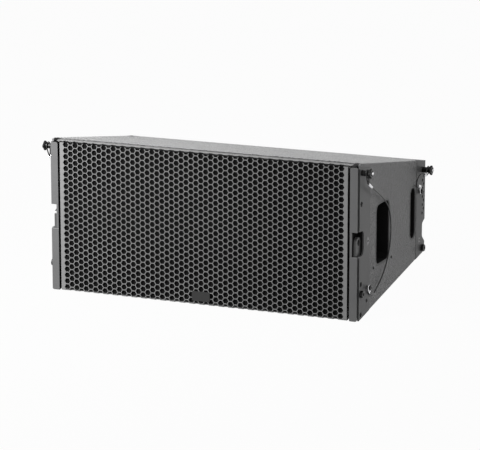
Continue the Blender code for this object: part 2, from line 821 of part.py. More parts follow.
def tall_bracket(end, start, stop, channel_front, channel_back, holes):
    """Side plate and channel in one piece, cut off along the cabinet's top and bottom."""
    tall = FRONT_HEIGHT * 0.6
    outline = ((start, -tall), (stop, -tall), (stop, tall), (start, tall))
    name = f"{end}_rigging_plate_right"
    side = plate(name, "X", PLATE_INNER, PLATE_OUTER, outline, "steel", holes)
    section = channel_outline(channel_front, channel_back)
    channel = plate(f"{end}_channel", "Z", -FRONT_HEIGHT, FRONT_HEIGHT, section)
    combine(side, channel, "UNION")
    return combine(side, wedge_guide(f"{end}_wedge"), "INTERSECT")


def make_front_bracket():
    heights = [FRONT_TOP - PLATE_HOLE_FROM_TOP]
    heights += [above_foot - FRONT_TOP for above_foot in PLATE_HOLES_FROM_FOOT]
    holes = [circle((FRONT_LINE, height), PLATE_HOLE) for height in heights]
    start = STEEL + CORNER_SLIT
    side = tall_bracket("front", start, FRONT_PLATE_DEPTH, 0, FRONT_CHANNEL_END, holes)
    low = (-NOTCH_DEPTH, NOTCH_BOTTOM)
    notch = rounded_box(low, (NOTCH_DEPTH, NOTCH_TOP), NOTCH_CORNER)
    combine(side, plate("front_notch", "X", CHANNEL_INNER + CLEARANCE, CABINET_WIDTH, notch))
    combine(side, cross_hole("front_pin_hole", FRONT_LINE, FRONT_PIN_HEIGHT))
    combine(side, cross_hole("front_bolt_hole", FRONT_LINE, FRONT_BOLT_HEIGHT))
    return [side]


def make_rear_bracket():
    holes = []
    for column, offset in enumerate((0, ANGLE_COLUMN_SPACING)):
        for row in range(ANGLE_HOLES_PER_COLUMN):
            drop = ANGLE_HOLE_UNDER_PIN + (row + (1 - column) / 2) * ANGLE_HOLE_PITCH
            height = REAR_PIN_HEIGHT - drop
            holes.append(circle((REAR_LINE + offset, height), ANGLE_HOLE, 6))
    start = CABINET_DEPTH - REAR_PLATE_DEPTH
    side = tall_bracket("rear", start, CABINET_DEPTH, REAR_CHANNEL_START, CABINET_DEPTH, holes)
    inner = CABINET_DEPTH - REAR_NOTCH_DEPTH
    beyond = 2 * CABINET_DEPTH
    bottom, top = (REAR_BOLT_HEIGHT + over for over in REAR_NOTCH_OVER_BOLT)
    notch = (
        (inner, top - REAR_NOTCH_TAPER),
        (inner, bottom + REAR_NOTCH_TAPER + 4 * MM),
        (CABINET_DEPTH, bottom),
        (beyond, bottom),
        (beyond, top),
        (CABINET_DEPTH, top),
    )
    combine(side, plate("rear_notch", "X", CHANNEL_INNER + CLEARANCE, CABINET_WIDTH, notch))
    combine(side, cross_hole("rear_pin_hole", REAR_LINE, REAR_PIN_HEIGHT))
    combine(side, cross_hole("rear_bolt_hole", REAR_LINE, REAR_BOLT_HEIGHT))
    return [side]


def make_link(end, width, top, bottom, bolt_height, travel, finger_hole, end_hole):
    """A flat bar with a slot that rides on the bracket's bolt; at rest it is fully up."""
    y = CENTRES[end]
    slot = obround((y, bolt_height + travel / 2), LINK_SLOT, travel + LINK_SLOT, 4)
    holes = [slot, circle((y, top - width / 2), finger_hole)]
    if end_hole is not None:
        holes.append(circle((y, end_hole), SHANK_HOLE))
    low = LINK_CENTRE - LINK_THICKNESS / 2
    high = LINK_CENTRE + LINK_THICKNESS / 2
    outline = obround((y, (top + bottom) / 2), width, top - bottom)
    link = plate(f"{end}_link_right", "X", low, high, outline, "steel", holes)
    return [origin_at(link, (LINK_CENTRE, y, bolt_height))]


def make_front_link():
    end_hole = FRONT_LINK_HOLE_FROM_FOOT - FRONT_TOP
    bottom = end_hole - FRONT_LINK_WIDTH / 2
    return make_link(
        "front",
        FRONT_LINK_WIDTH,
        FRONT_LINK_TOP,
        bottom,
        FRONT_BOLT_HEIGHT,
        FRONT_LINK_TRAVEL,
        FRONT_FINGER_HOLE,
        end_hole,
    )


def make_rear_link():
    bottom = REAR_BOLT_HEIGHT - REAR_LINK_WIDTH / 2
    return make_link(
        "rear",
        REAR_LINK_WIDTH,
        REAR_LINK_TOP,
        bottom,
        REAR_BOLT_HEIGHT,
        REAR_LINK_TRAVEL,
        REAR_FINGER_HOLE,
        None,
    )


def make_bolt(end, height):
    head = BOLT_HEAD_DIAMETER / 2
    shank = BOLT_DIAMETER / 2
    top = PIN_SEAT + BOLT_HEAD_HEIGHT
    socket = shank * 0.75
    profile = (
        (0, top - 3 * MM),
        (socket, top - 3 * MM),
        (socket, top),
        (head - 1 * MM, top),
        (head, top - 1 * MM),
        (head, PIN_SEAT),
        (shank, PIN_SEAT),
        (shank, SIDE_INNER + CLEARANCE),
        (0, SIDE_INNER + CLEARANCE),
    )
    place = (0, CENTRES[end], height)
    return [turned(f"{end}_link_bolt_right", "X", place, profile, "black", 10)]


# Quick-release pins with their push buttons


def knob_outline(y, z, steps=16):
    points = []
    for step in range(steps):
        angle = 2 * math.pi * step / steps
        radius = PIN_KNOB_DIAMETER / 2 - PIN_KNOB_LOBE * (1 - math.cos(4 * angle)) / 2
        points.append((y + radius * math.cos(angle), z + radius * math.sin(angle)))
    return points


def make_pin(end, height):
    y = CENTRES[end]
    shank = PIN_DIAMETER / 2
    barrel = PIN_BARREL_DIAMETER / 2
    middle = PIN_KNOB_START + PIN_KNOB_LENGTH / 2
    profile = (
        (0, middle),
        (barrel, middle),
        (barrel, PIN_SEAT + 1 * MM),
        (barrel - 1 * MM, PIN_SEAT),
        (shank, PIN_SEAT),
        (shank, PIN_TIP + 1.5 * MM),
        (shank - 1.5 * MM, PIN_TIP),
        (0, PIN_TIP),
    )
    pin = turned(f"{end}_pin_right", "X", (0, y, height), profile, "black", 12)
    outline = knob_outline(y, height)
    combine(pin, plate(f"{end}_knob", "X", PIN_KNOB_START, PIN_KNOB_END, outline), "UNION")
    button_foot = PIN_KNOB_END - BUTTON_TRAVEL - BUTTON_TRAVEL / 2
    bore_floor = button_foot - BUTTON_TRAVEL - CLEARANCE
    bore_end = PIN_KNOB_END + BUTTON_PROUD
    bore = BUTTON_DIAMETER + SLIDING_CLEARANCE
    combine(pin, rod(f"{end}_button_bore", (bore_floor, y, height), (bore_end, y, height), bore))
    radius = BUTTON_DIAMETER / 2
    tip = PIN_KNOB_END + BUTTON_PROUD
    dome = ((0, tip), (radius - 1 * MM, tip - 0.3 * MM), (radius, tip - 1.2 * MM))
    cap = (*dome, (radius, button_foot), (0, button_foot))
    button = turned(f"{end}_pin_button_right", "X", (0, y, height), cap, "bright", 12)
    return [
        origin_at(pin, (PIN_SEAT, y, height)),
        origin_at(button, (PIN_KNOB_END, y, height)),
    ]


# Wire lanyards with a crimped eye at each end


def oval(x, centre, half_width, half_height):
    points = []
    for y, z in circle((0, 0), 2, 12):
        points.append((x, centre[0] + y * half_width, centre[1] + z * half_height))
    return points


def nearest(points, target):
    return min((Vector(point) for point in points), key=lambda point: (point - Vector(target)).length)


def eye(name, loop, end):
    """A closed wire loop and the ferrule that leads from it to the end point."""
    made = tube(name, loop, WIRE_DIAMETER, "bright", True)
    end = Vector(end)
    start = nearest(loop, end)
    run = end - start
    gap = run.normalized() * CLEARANCE
    ferrule = rod(name + "_ferrule", start, end - gap, FERRULE_DIAMETER, None, 8)
    return combine(made, ferrule, "UNION")


def make_lanyard(end, pin_height, anchor, pull, shape, ends):
    """Lanyard with its eyes; pull is 1 where the wire lifts the lower eye and -1 where it hangs."""
    y = CENTRES[end]
    top, bottom = pin_height + ends[0], anchor[1] + ends[1]
    route = [(PLATE_OUTER + out, y + back, bottom + up * (top - bottom)) for out, back, up in shape]
    hang = pin_height + (PIN_BARREL_DIAMETER + WIRE_DIAMETER) / 2 + 2 * CLEARANCE
    centre = (y, hang - PIN_EYE_HALF_HEIGHT)
    top_loop = oval(PIN_EYE_X, centre, PIN_EYE_HALF_WIDTH, PIN_EYE_HALF_HEIGHT)
    neck = ANCHOR_NECK_DIAMETER / 2
    low = anchor[1] + pull * (ANCHOR_EYE_HALF_HEIGHT - neck - WIRE_DIAMETER / 2 - CLEARANCE)
    low_loop = oval(WIRE_X, (anchor[0], low), ANCHOR_EYE_HALF_WIDTH, ANCHOR_EYE_HALF_HEIGHT)
    pin_eye = eye(f"{end}_pin_eye_right", top_loop, route[0])
    anchor_eye = eye(f"{end}_anchor_eye_right", low_loop, route[-1])
    leads = (nearest(top_loop, route[0]), nearest(low_loop, route[-1]))
    points = smooth_route(route, 3 * WIRE_DIAMETER, *leads)
    wire = tube(f"{end}_lanyard_right", points, WIRE_DIAMETER, "wire")
    under_head = WIRE_X + WIRE_DIAMETER / 2 + CLEARANCE
    head = ANCHOR_HEAD_DIAMETER / 2
    profile = (
        (0, under_head + ANCHOR_HEAD_HEIGHT),
        (head - 1 * MM, under_head + ANCHOR_HEAD_HEIGHT),
        (head, under_head + ANCHOR_HEAD_HEIGHT - 1 * MM),
        (head, under_head),
        (neck, under_head),
        (neck, PLATE_OUTER + CLEARANCE),
        (0, PLATE_OUTER + CLEARANCE),
    )
    stud = turned(f"{end}_lanyard_anchor_right", "X", (0, *anchor), profile, "black", 10)
    return [pin_eye, wire, anchor_eye, stud]


# Hand grips


def grip(name, outer, inner, depth):
    """A moulded cup with a closed floor, open at the side of the cabinet."""
    floor = HALF_WIDTH - depth
    cup = plate(name, "X", floor, HALF_WIDTH, outer, "black")
    return [combine(cup, plate(name + "_hollow", "X", floor + GRIP_WALL, CABINET_WIDTH, inner))]


def make_front_grip():
    low = [value + GRIP_WALL for value in FRONT_GRIP_LOW]
    high = [value - GRIP_WALL for value in FRONT_GRIP_HIGH]
    outer = rounded_box(FRONT_GRIP_LOW, FRONT_GRIP_HIGH, FRONT_GRIP_CORNER)
    inner = rounded_box(low, high, FRONT_GRIP_CORNER - GRIP_WALL)
    return grip("front_grip_right", outer, inner, FRONT_GRIP_DEPTH)


def make_rear_grip():
    outer = obround(REAR_GRIP_CENTRE, REAR_GRIP_WIDTH, REAR_GRIP_LENGTH)
    wall = 2 * GRIP_WALL
    inner = obround(REAR_GRIP_CENTRE, REAR_GRIP_WIDTH - wall, REAR_GRIP_LENGTH - wall)
    return grip("rear_grip_right", outer, inner, REAR_GRIP_DEPTH)


# Connectors


def make_connectors():
    plate_front = CABINET_DEPTH + CLEARANCE
    plate_back = plate_front + CONNECTOR_PLATE_THICKNESS
    half = (CONNECTOR_PLATE_WIDTH / 2, CONNECTOR_PLATE_HEIGHT / 2)
    outline = rounded_box((-half[0], -half[1]), half, 6 * MM)
    places = (("input_socket", -SOCKET_SPACING / 2), ("link_socket", SOCKET_SPACING / 2))
    holes = [circle((x, 0), SOCKET_DIAMETER + 2 * CLEARANCE, 16) for _, x in places]
    plate("connector_plate", "Y", plate_front, plate_back, outline, "steel", holes)
    flange_front = plate_back + CLEARANCE
    flange_back = flange_front + 2 * MM
    outer = SOCKET_DIAMETER / 2
    bore = SOCKET_BORE / 2
    inner_end = flange_back - SOCKET_DEPTH
    floor = inner_end + 8 * MM
    boss = bore / 2
    profile = (
        (0, inner_end),
        (outer, inner_end),
        (outer, flange_back),
        (bore, flange_back),
        (bore, floor),
        (boss, floor),
        (boss, flange_back - 3 * MM),
        (0, flange_back - 3 * MM),
    )
    for name, x in places:
        socket = turned(name, "Y", (x, 0, 0), profile, "black", 12)
        low = (x - SOCKET_FLANGE[0] / 2, -SOCKET_FLANGE[1] / 2)
        high = (x + SOCKET_FLANGE[0] / 2, SOCKET_FLANGE[1] / 2)
        hole = circle((x, 0), SOCKET_DIAMETER - 2 * MM, 16)
        area = rounded_box(low, high, 3 * MM)
        combine(socket, plate(name + "_flange", "Y", flange_front, flange_back, area, None, (hole,)), "UNION")


def stand_on_bottom():
    """Parents every piece to one empty that lays the bottom panel flat, centred over the origin."""
    root = bpy.data.objects.new("cabinet_axes", None)
    parts.objects.link(root)
    sine, cosine = math.sin(WEDGE), math.cos(WEDGE)
    front = -outer_height(0) * sine
    back = CABINET_DEPTH * cosine + outer_height(CABINET_DEPTH) * sine
    for obj in [*parts.objects, *cutters.objects]:
        if obj is not root:
            obj.parent = root
    root.rotation_euler.x = -WEDGE
    root.location = (0, -(front + back) / 2, outer_height(0) * cosine)
    bpy.context.view_layer.update()


make_top_and_bottom()
both_hands(make_side_panel)
make_rear_panel()
make_baffle()
make_grille()
make_foam_and_badge()
both_hands(make_woofer)
make_horn()
make_compression_driver()
both_hands(make_front_bracket)
both_hands(make_rear_bracket)
both_hands(make_front_link)
both_hands(make_rear_link)
both_hands(make_bolt, "front", FRONT_BOLT_HEIGHT)
both_hands(make_bolt, "rear", REAR_BOLT_HEIGHT)
both_hands(make_pin, "front", FRONT_PIN_HEIGHT)
both_hands(make_pin, "rear", REAR_PIN_HEIGHT)
both_hands(
    make_lanyard, "front", FRONT_PIN_HEIGHT, FRONT_ANCHOR, -1, FRONT_WIRE_SHAPE, FRONT_WIRE_ENDS
)
both_hands(make_lanyard, "rear", REAR_PIN_HEIGHT, REAR_ANCHOR, 1, REAR_WIRE_SHAPE, REAR_WIRE_ENDS)
both_hands(make_front_grip)
both_hands(make_rear_grip)
make_connectors()
stand_on_bottom()
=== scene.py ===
"""Looks of the line array speaker: fine pieces, materials, studio light and camera.

Pieces are drawn in millimetres in the cabinet's own axes, as in part.py, with X to
the right, Y from the grille to the rear and Z up the front face. settle() then
brings them into the row frame, in metres, and on to their body.
"""

import math

import bmesh
import bpy
from mathutils import Matrix, Vector, noise


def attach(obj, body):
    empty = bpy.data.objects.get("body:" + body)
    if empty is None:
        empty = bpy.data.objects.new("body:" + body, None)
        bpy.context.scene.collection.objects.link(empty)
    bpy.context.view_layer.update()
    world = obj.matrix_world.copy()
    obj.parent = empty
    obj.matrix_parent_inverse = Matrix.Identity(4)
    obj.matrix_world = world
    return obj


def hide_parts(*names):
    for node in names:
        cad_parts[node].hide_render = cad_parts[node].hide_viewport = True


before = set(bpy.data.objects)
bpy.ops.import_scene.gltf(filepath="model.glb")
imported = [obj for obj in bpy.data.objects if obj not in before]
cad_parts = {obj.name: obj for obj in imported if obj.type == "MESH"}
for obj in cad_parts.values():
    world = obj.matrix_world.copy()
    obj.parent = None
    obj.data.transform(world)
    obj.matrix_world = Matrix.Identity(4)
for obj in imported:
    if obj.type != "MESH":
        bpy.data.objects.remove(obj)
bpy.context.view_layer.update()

# Sizes of the cabinet and its fittings, as in part.py
HALF_WIDTH = 317.5
SIDE_INNER = 301
DEPTH = 365
FRONT_HEIGHT = 298
REAR_HEIGHT = 181
FRONT_TOP = FRONT_HEIGHT / 2
WEDGE = math.atan2((FRONT_HEIGHT - REAR_HEIGHT) / 2, DEPTH)
PLATE_OUTER = 318
PLATE_INNER = 315
CHANNEL_WALL = 304
LINK_CENTRE = 309.5
LINES = {"front": 16, "rear": 350}
BOLT_HEIGHTS = {"front": -98, "rear": -82}
PIN_HEIGHTS = {"front": 132, "rear": 74.5}
ANCHORS = {"front": (50, -93), "rear": (332, 34.5)}
PLATE_SCREWS = {"front": (48.4, -3.8), "rear": (332, -63)}
FRONT_PLATE_START = 6.5
FRONT_PLATE_END = 62
FRONT_CHANNEL_START = 0.8
FRONT_CHANNEL_BACK = 29
REAR_PLATE_START = 316
REAR_CHANNEL_START = 333
LIP = 3
PIN_HOLE = 8.6
PIN_SEAT = 318.3
PIN_EYE_X = 329
KNOB_START = 332.3
BARREL = 11.5
STUD_RADIUS = 2.7
WIRE_X = 321.4
WIRE = 2.4
SOCKET_PLACES = {"input_socket": -35, "link_socket": 35}

# The smooth strip on the top ends here, and the sprayed coat begins
STRIP_END = 17.3

# Places clear of the cabinet, where cutters may end
AHEAD = -30
BESIDE = 340
BEHIND = 400
ABOVE = 170


def outer_height(y):
    return FRONT_TOP - y * math.tan(WEDGE)


SINE, COSINE = math.sin(WEDGE), math.cos(WEDGE)
FRONT_REACH = -outer_height(0) * SINE
BACK_REACH = DEPTH * COSINE + outer_height(DEPTH) * SINE
STAND = Matrix.Translation((0, -(FRONT_REACH + BACK_REACH) / 2, outer_height(0) * COSINE))
TO_ROW = Matrix.Scale(0.001, 4) @ STAND @ Matrix.Rotation(-WEDGE, 4, "X")

scene = bpy.context.scene
TURN = {
    "X": Matrix(((0, 0, 1), (1, 0, 0), (0, 1, 0))).to_4x4(),
    "Y": Matrix(((1, 0, 0), (0, 0, -1), (0, 1, 0))).to_4x4(),
    "Z": Matrix.Identity(4),
}


# Materials


def node(tree, kind, **values):
    made = tree.nodes.new(kind)
    for key, value in values.items():
        if key in made.inputs:
            made.inputs[key].default_value = value
        else:
            setattr(made, key, value)
    return made


def about_one(tree, source, change):
    """Turns noise into a factor from 1 - change to 1 + change."""
    factor = node(tree, "ShaderNodeMapRange")
    factor.inputs["From Min"].default_value = 0.3
    factor.inputs["From Max"].default_value = 0.7
    factor.inputs["To Min"].default_value = 1 - change
    factor.inputs["To Max"].default_value = 1 + change
    tree.links.new(source.outputs["Fac"], factor.inputs["Value"])
    return factor


GLOSS_CHANGE = 0.07
PEBBLE_DEPTH = 0.0012


def finish(name, colour, roughness, metallic=0.0, **more):
    """Material with a fine grain and soft unevenness in its colour and its gloss.

    grain is the noise's scale, the bump's strength and its depth in millimetres, and
    pebble is the scale of a coarser bump below it.
    """
    grain = more.get("grain", (900, 0.15, 0.05))
    made = bpy.data.materials.new(name)
    made.use_nodes = True
    tree = made.node_tree
    link = tree.links.new
    shader = tree.nodes["Principled BSDF"]
    shader.inputs["Metallic"].default_value = metallic
    shader.inputs["Specular IOR Level"].default_value = more.get("specular", 0.5)
    shader.inputs["Sheen Weight"].default_value = more.get("sheen", 0.0)
    shader.inputs["Sheen Roughness"].default_value = 0.4
    where = node(tree, "ShaderNodeTexCoord")
    fine = node(tree, "ShaderNodeTexNoise", Scale=grain[0], Detail=3, Roughness=0.6)
    link(where.outputs["Object"], fine.inputs["Vector"])
    broad = node(tree, "ShaderNodeTexNoise", Scale=18, Detail=4, Roughness=0.6)
    link(where.outputs["Object"], broad.inputs["Vector"])
    tint = about_one(tree, broad, more.get("mottle", 0.15))
    speck = about_one(tree, fine, more.get("speckle", 0.1))
    both = node(tree, "ShaderNodeMath", operation="MULTIPLY")
    link(tint.outputs["Result"], both.inputs[0])
    link(speck.outputs["Result"], both.inputs[1])
    scaled = node(tree, "ShaderNodeVectorMath", operation="SCALE")
    scaled.inputs[0].default_value = colour
    link(both.outputs["Value"], scaled.inputs["Scale"])
    link(scaled.outputs["Vector"], shader.inputs["Base Color"])
    gloss = node(tree, "ShaderNodeMapRange")
    gloss.inputs["To Min"].default_value = roughness - GLOSS_CHANGE
    gloss.inputs["To Max"].default_value = roughness + GLOSS_CHANGE
    link(broad.outputs["Fac"], gloss.inputs["Value"])
    link(gloss.outputs["Result"], shader.inputs["Roughness"])
    bump = node(tree, "ShaderNodeBump", Strength=grain[1], Distance=grain[2] * 0.001)
    link(fine.outputs["Fac"], bump.inputs["Height"])
    link(bump.outputs["Normal"], shader.inputs["Normal"])
    if "pebble" in more:
        cells = node(tree, "ShaderNodeTexVoronoi", Scale=more["pebble"])
        cells.feature = "SMOOTH_F1"
        cells.inputs["Smoothness"].default_value = 0.6
        link(where.outputs["Object"], cells.inputs["Vector"])
        rise = node(tree, "ShaderNodeBump", Strength=0.9, Distance=PEBBLE_DEPTH)
        rise.invert = True
        link(cells.outputs["Distance"], rise.inputs["Height"])
        link(rise.outputs["Normal"], bump.inputs["Normal"])
    return made


FINISHES = {
    "coating": finish(
        "textured_coating",
        (0.118, 0.118, 0.12),
        0.45,
        grain=(420, 1.0, 1.2),
        pebble=300,
        speckle=0.5,
        mottle=0.06,
        sheen=0.25,
    ),
    "powder": finish(
        "powder_coat", (0.135, 0.135, 0.136), 0.42, grain=(1500, 0.3, 0.06), mottle=0.05, specular=0.2
    ),
    "grille": finish("grille_coat", (0.21, 0.21, 0.21), 0.38, grain=(1500, 0.3, 0.06), mottle=0.05),
    # Rough bead at the coat's end: its uneven shape is real, and its darker colour is painted shade of the
    # groove there
    "edge": finish(
        "coating_edge_painted_shade", (0.06, 0.06, 0.06), 0.7, grain=(170, 1.0, 1.2), speckle=0.9, mottle=0.3
    ),
    # Near-black finish for the brackets' inner channels in place of their powder coat: painted shade, so
    # the holes and the gap beside the side plates look dark
    "inside": finish("painted_shade_inside", (0.009, 0.009, 0.009), 0.7, specular=0.08),
    "steel": finish("black_steel", (0.008, 0.008, 0.008), 0.27, grain=(1200, 0.2, 0.05), specular=0.2),
    "link": finish("link_steel", (0.1, 0.1, 0.1), 0.38, 0.3, grain=(1200, 0.2, 0.05)),
    "screw": finish("screw_steel", (0.2, 0.2, 0.2), 0.35, 0.4, grain=(1200, 0.2, 0.05)),
    "bright": finish("zinc_steel", (0.62, 0.62, 0.63), 0.25, 1.0, grain=(700, 0.2, 0.05)),
    "wire": finish("wire_rope", (0.02, 0.02, 0.02), 0.4, grain=(1800, 0.5, 0.15), specular=0.3),
    "plastic": finish("moulded_plastic", (0.004, 0.004, 0.004), 0.6, grain=(1400, 0.4, 0.1), specular=0.1),
    "badge": finish("badge_metal", (0.02, 0.02, 0.02), 0.3, 0.3, grain=(1500, 0.2, 0.04)),
    "foam": finish("acoustic_foam", (0.005, 0.005, 0.005), 0.95, grain=(700, 1.0, 0.6), specular=0.1),
    "paper": finish("paper_cone", (0.02, 0.02, 0.02), 0.8, grain=(600, 0.5, 0.2)),
    "plywood": finish("painted_plywood", (0.01, 0.01, 0.01), 0.75, grain=(300, 0.4, 0.2), specular=0.15),
    "magnet": finish("magnet_steel", (0.06, 0.06, 0.065), 0.4, 0.6, grain=(700, 0.2, 0.05)),
    "cast": finish("cast_basket", (0.04, 0.04, 0.042), 0.5, 0.3, grain=(500, 0.5, 0.15)),
    "contact": finish("contact_metal", (0.55, 0.5, 0.35), 0.3, 1.0, grain=(700, 0.2, 0.05)),
}


# Outlines in a plane, in millimetres


def arc(centre, radius, start, end, steps):
    points = []
    for step in range(steps + 1):
        angle = start + (end - start) * step / steps
        points.append((centre[0] + radius * math.cos(angle), centre[1] + radius * math.sin(angle)))
    return points


def circle(centre, diameter, steps=28):
    return arc(centre, diameter / 2, 0, 2 * math.pi, steps)[:-1]


def obround(centre, width, length, steps=12):
    reach = (length - width) / 2
    top = arc((centre[0], centre[1] + reach), width / 2, 0, math.pi, steps)
    return top + arc((centre[0], centre[1] - reach), width / 2, math.pi, 2 * math.pi, steps)


def hexagon(centre, across):
    return circle(centre, 2 * across / math.sqrt(3), 6)


def rectangle(low, high):
    return low, (high[0], low[1]), high, (low[0], high[1])


def rounded_box(low, high, radius, steps=8):
    quarter = math.pi / 2
    corners = (
        (high[0] - radius, high[1] - radius),
        (low[0] + radius, high[1] - radius),
        (low[0] + radius, low[1] + radius),
        (high[0] - radius, low[1] + radius),
    )
    points = []
    for index, corner in enumerate(corners):
        points += arc(corner, radius, index * quarter, (index + 1) * quarter, steps)
    return points


# Solids


def linked(name, mesh):
    made = bpy.data.objects.new(name, mesh)
    scene.collection.objects.link(made)
    return made


def welded(mesh):
    shape = bmesh.new()
    shape.from_mesh(mesh)
    bmesh.ops.remove_doubles(shape, verts=shape.verts, dist=0.001)
    bmesh.ops.recalc_face_normals(shape, faces=shape.faces)
    shape.to_mesh(mesh)
    shape.free()
    return mesh


def applied(obj):
    """Bakes the object's modifiers into its mesh."""
    bpy.context.view_layer.update()
    mesh = bpy.data.meshes.new_from_object(obj.evaluated_get(bpy.context.evaluated_depsgraph_get()))
    obj.modifiers.clear()
    obj.data = mesh
    return obj


def of_curve(name, curve, place):
    source = bpy.data.objects.new(name, curve)
    scene.collection.objects.link(source)
    bpy.context.view_layer.update()
    graph = bpy.context.evaluated_depsgraph_get()
    mesh = bpy.data.meshes.new_from_object(source.evaluated_get(graph))
    mesh.transform(place)
    bpy.data.objects.remove(source, do_unlink=True)
    return linked(name, welded(mesh))


def plate(name, axis, low, high, outline, holes=()):
    """A flat piece square to the axis, between two places on it."""
    curve = bpy.data.curves.new(name, "CURVE")
    curve.dimensions = "2D"
    curve.fill_mode = "BOTH"
    curve.extrude = (high - low) / 2
    for points in (outline, *holes):
        spline = curve.splines.new("POLY")
        spline.points.add(len(points) - 1)
        spline.use_cyclic_u = True
        for target, (u, v) in zip(spline.points, points):
            target.co = (u, v, 0, 1)
    middle = Vector((0, 0, 0))
    middle["XYZ".index(axis)] = (low + high) / 2
    return of_curve(name, curve, Matrix.Translation(middle) @ TURN[axis])


def ring_of_wire(name, points):
    curve = bpy.data.curves.new(name, "CURVE")
    curve.dimensions = "3D"
    curve.bevel_depth = WIRE / 2
    curve.bevel_resolution = 4
    spline = curve.splines.new("POLY")
    spline.points.add(len(points) - 1)
    spline.use_cyclic_u = True
    for target, point in zip(spline.points, points):
        target.co = (*point, 1)
    return of_curve(name, curve, Matrix.Identity(4))


def loft(name, rings, capped=True):
    """Skin over closed loops with equal numbers of points."""
    shape = bmesh.new()
    loops = [[shape.verts.new(point) for point in ring] for ring in rings]
    for near, far in zip(loops, loops[1:]):
        for index, vertex in enumerate(near):
            following = (index + 1) % len(near)
            shape.faces.new((vertex, near[following], far[following], far[index]))
    if capped:
        shape.faces.new(loops[0])
        shape.faces.new(loops[-1])
    bmesh.ops.recalc_face_normals(shape, faces=shape.faces)
    mesh = bpy.data.meshes.new(name)
    shape.to_mesh(mesh)
    shape.free()
    return linked(name, mesh)


def turned(name, start, direction, profile, steps):
    """A body turned about an axis, from (along, radius) pairs, closed at both ends."""
    turn = Vector(direction).to_track_quat("Z", "Y").to_matrix().to_4x4()
    place = Matrix.Translation(Vector(start)) @ turn
    rings = []
    for along, radius in profile:
        ring = []
        for step in range(steps):
            angle = 2 * math.pi * step / steps
            point = Vector((radius * math.cos(angle), radius * math.sin(angle), along))
            ring.append(place @ point)
        rings.append(ring)
    return loft(name, rings)


SHARP = 35


def bevelled(obj, width, segments=2, angle=SHARP):
    """Rounds every edge that is sharper than the angle in degrees."""
    modifier = obj.modifiers.new("edges", "BEVEL")
    modifier.width = width
    modifier.segments = segments
    modifier.limit_method = "ANGLE"
    modifier.angle_limit = math.radians(angle)
    return applied(obj)


def rounded_edges(obj, width, segments, chosen):
    """Rounds the sharp edges whose two ends are chosen by their places."""
    shape = bmesh.new()
    shape.from_mesh(obj.data)
    edges = []
    for edge in shape.edges:
        sharp = edge.is_manifold and edge.calc_face_angle() > math.radians(SHARP)
        if sharp and all(chosen(vertex.co) for vertex in edge.verts):
            edges.append(edge)
    rounding = {"segments": segments, "profile": 0.5, "affect": "EDGES", "clamp_overlap": True}
    bmesh.ops.bevel(shape, geom=edges, offset=width, **rounding)
    shape.to_mesh(obj.data)
    shape.free()


def cut(obj, *cutters):
    for cutter in cutters:
        modifier = obj.modifiers.new(cutter.name, "BOOLEAN")
        modifier.operation = "DIFFERENCE"
        modifier.object = cutter
    applied(obj)
    for cutter in cutters:
        bpy.data.objects.remove(cutter, do_unlink=True)


def joined(obj, *others):
    shape = bmesh.new()
    shape.from_mesh(obj.data)
    for other in others:
        shape.from_mesh(other.data)
        bpy.data.objects.remove(other, do_unlink=True)
    shape.to_mesh(obj.data)
    shape.free()
    return obj


def settle(obj, look, body="cabinet", nodes=(), hands=True, smooth=40):
    """Gives the piece its finish, its mirror image if it is one of a pair, and its body.

    Edges above smooth degrees stay sharp. The piece takes the place of the named nodes.
    """
    pieces = [obj]
    if hands:
        other = linked(obj.name.replace("_right", "_left"), obj.data.copy())
        other.data.transform(Matrix.Diagonal((-1, 1, 1, 1)))
        other.data.flip_normals()
        pieces.append(other)
    for piece in pieces:
        side = "_left" if piece is not obj else "_right"
        piece.data.materials.clear()
        piece.data.materials.append(FINISHES[look])
        piece.data.transform(TO_ROW)
        piece.data.shade_smooth()
        piece.data.set_sharp_from_angle(angle=math.radians(smooth))
        normals = piece.modifiers.new("normals", "WEIGHTED_NORMAL")
        normals.keep_sharp = True
        applied(piece)
        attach(piece, body.replace("_right", side))
        if nodes:
            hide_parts(*[name.replace("_right", side) for name in nodes])
    return pieces


# Camera, as fitted to the corners and the grille of the photograph

YAW = math.radians(23.36)
RISE = math.radians(12.9)
REACH = 5166
TARGET = Vector((80.7, 0, 15.6))
LENS = 206.55
SENSOR = 36
backwards = Vector(
    (math.sin(YAW) * math.cos(RISE), -math.cos(YAW) * math.cos(RISE), math.sin(RISE))
)
sideways = Vector((math.cos(YAW), math.sin(YAW), 0))
upwards = backwards.cross(sideways)
camera = bpy.data.objects.new("camera", bpy.data.cameras.new("camera"))
scene.collection.objects.link(camera)
camera.data.lens = LENS
camera.data.sensor_width = SENSOR
camera.data.sensor_fit = "HORIZONTAL"
camera.data.clip_end = 60
turned_to = Matrix((sideways, upwards, backwards)).transposed().to_4x4()
seen_from = STAND @ Matrix.Rotation(-WEDGE, 4, "X") @ Matrix.Translation(TARGET + backwards * REACH)
camera.matrix_world = Matrix.Translation(seen_from.translation * 0.001) @ (
    Matrix.Rotation(-WEDGE, 4, "X") @ turned_to
)
scene.camera = camera


# Lanyards: how far out, how far back and at what share of its height the wire runs

FRONT_WIRE_SHAPE = (
    (11, 22, 1),
    (9.8, 38, 0.9665),
    (7.6, 66, 0.9068),
    (5, 99, 0.8327),
    (3.6, 131, 0.7251),
    (3.4, 143, 0.6391),
    (3.4, 148.4, 0.5339),
    (3.4, 147.4, 0.4192),
    (3.4, 140.5, 0.3093),
    (3.4, 127, 0.2089),
    (3.4, 109, 0.1252),
    (3.4, 92.5, 0.0727),
    (3.4, 74, 0.0296),
    (3.4, 55.4, 0),
)
REAR_WIRE_SHAPE = (
    (11, -21, 1),
    (10, -29, 1.12),
    (8.4, -37.5, 1.12),
    (6, -43.5, 0.82),
    (4.2, -45, 0.4242),
    (3.4, -41.5, 0.0909),
    (3.4, -34.5, 0),
)


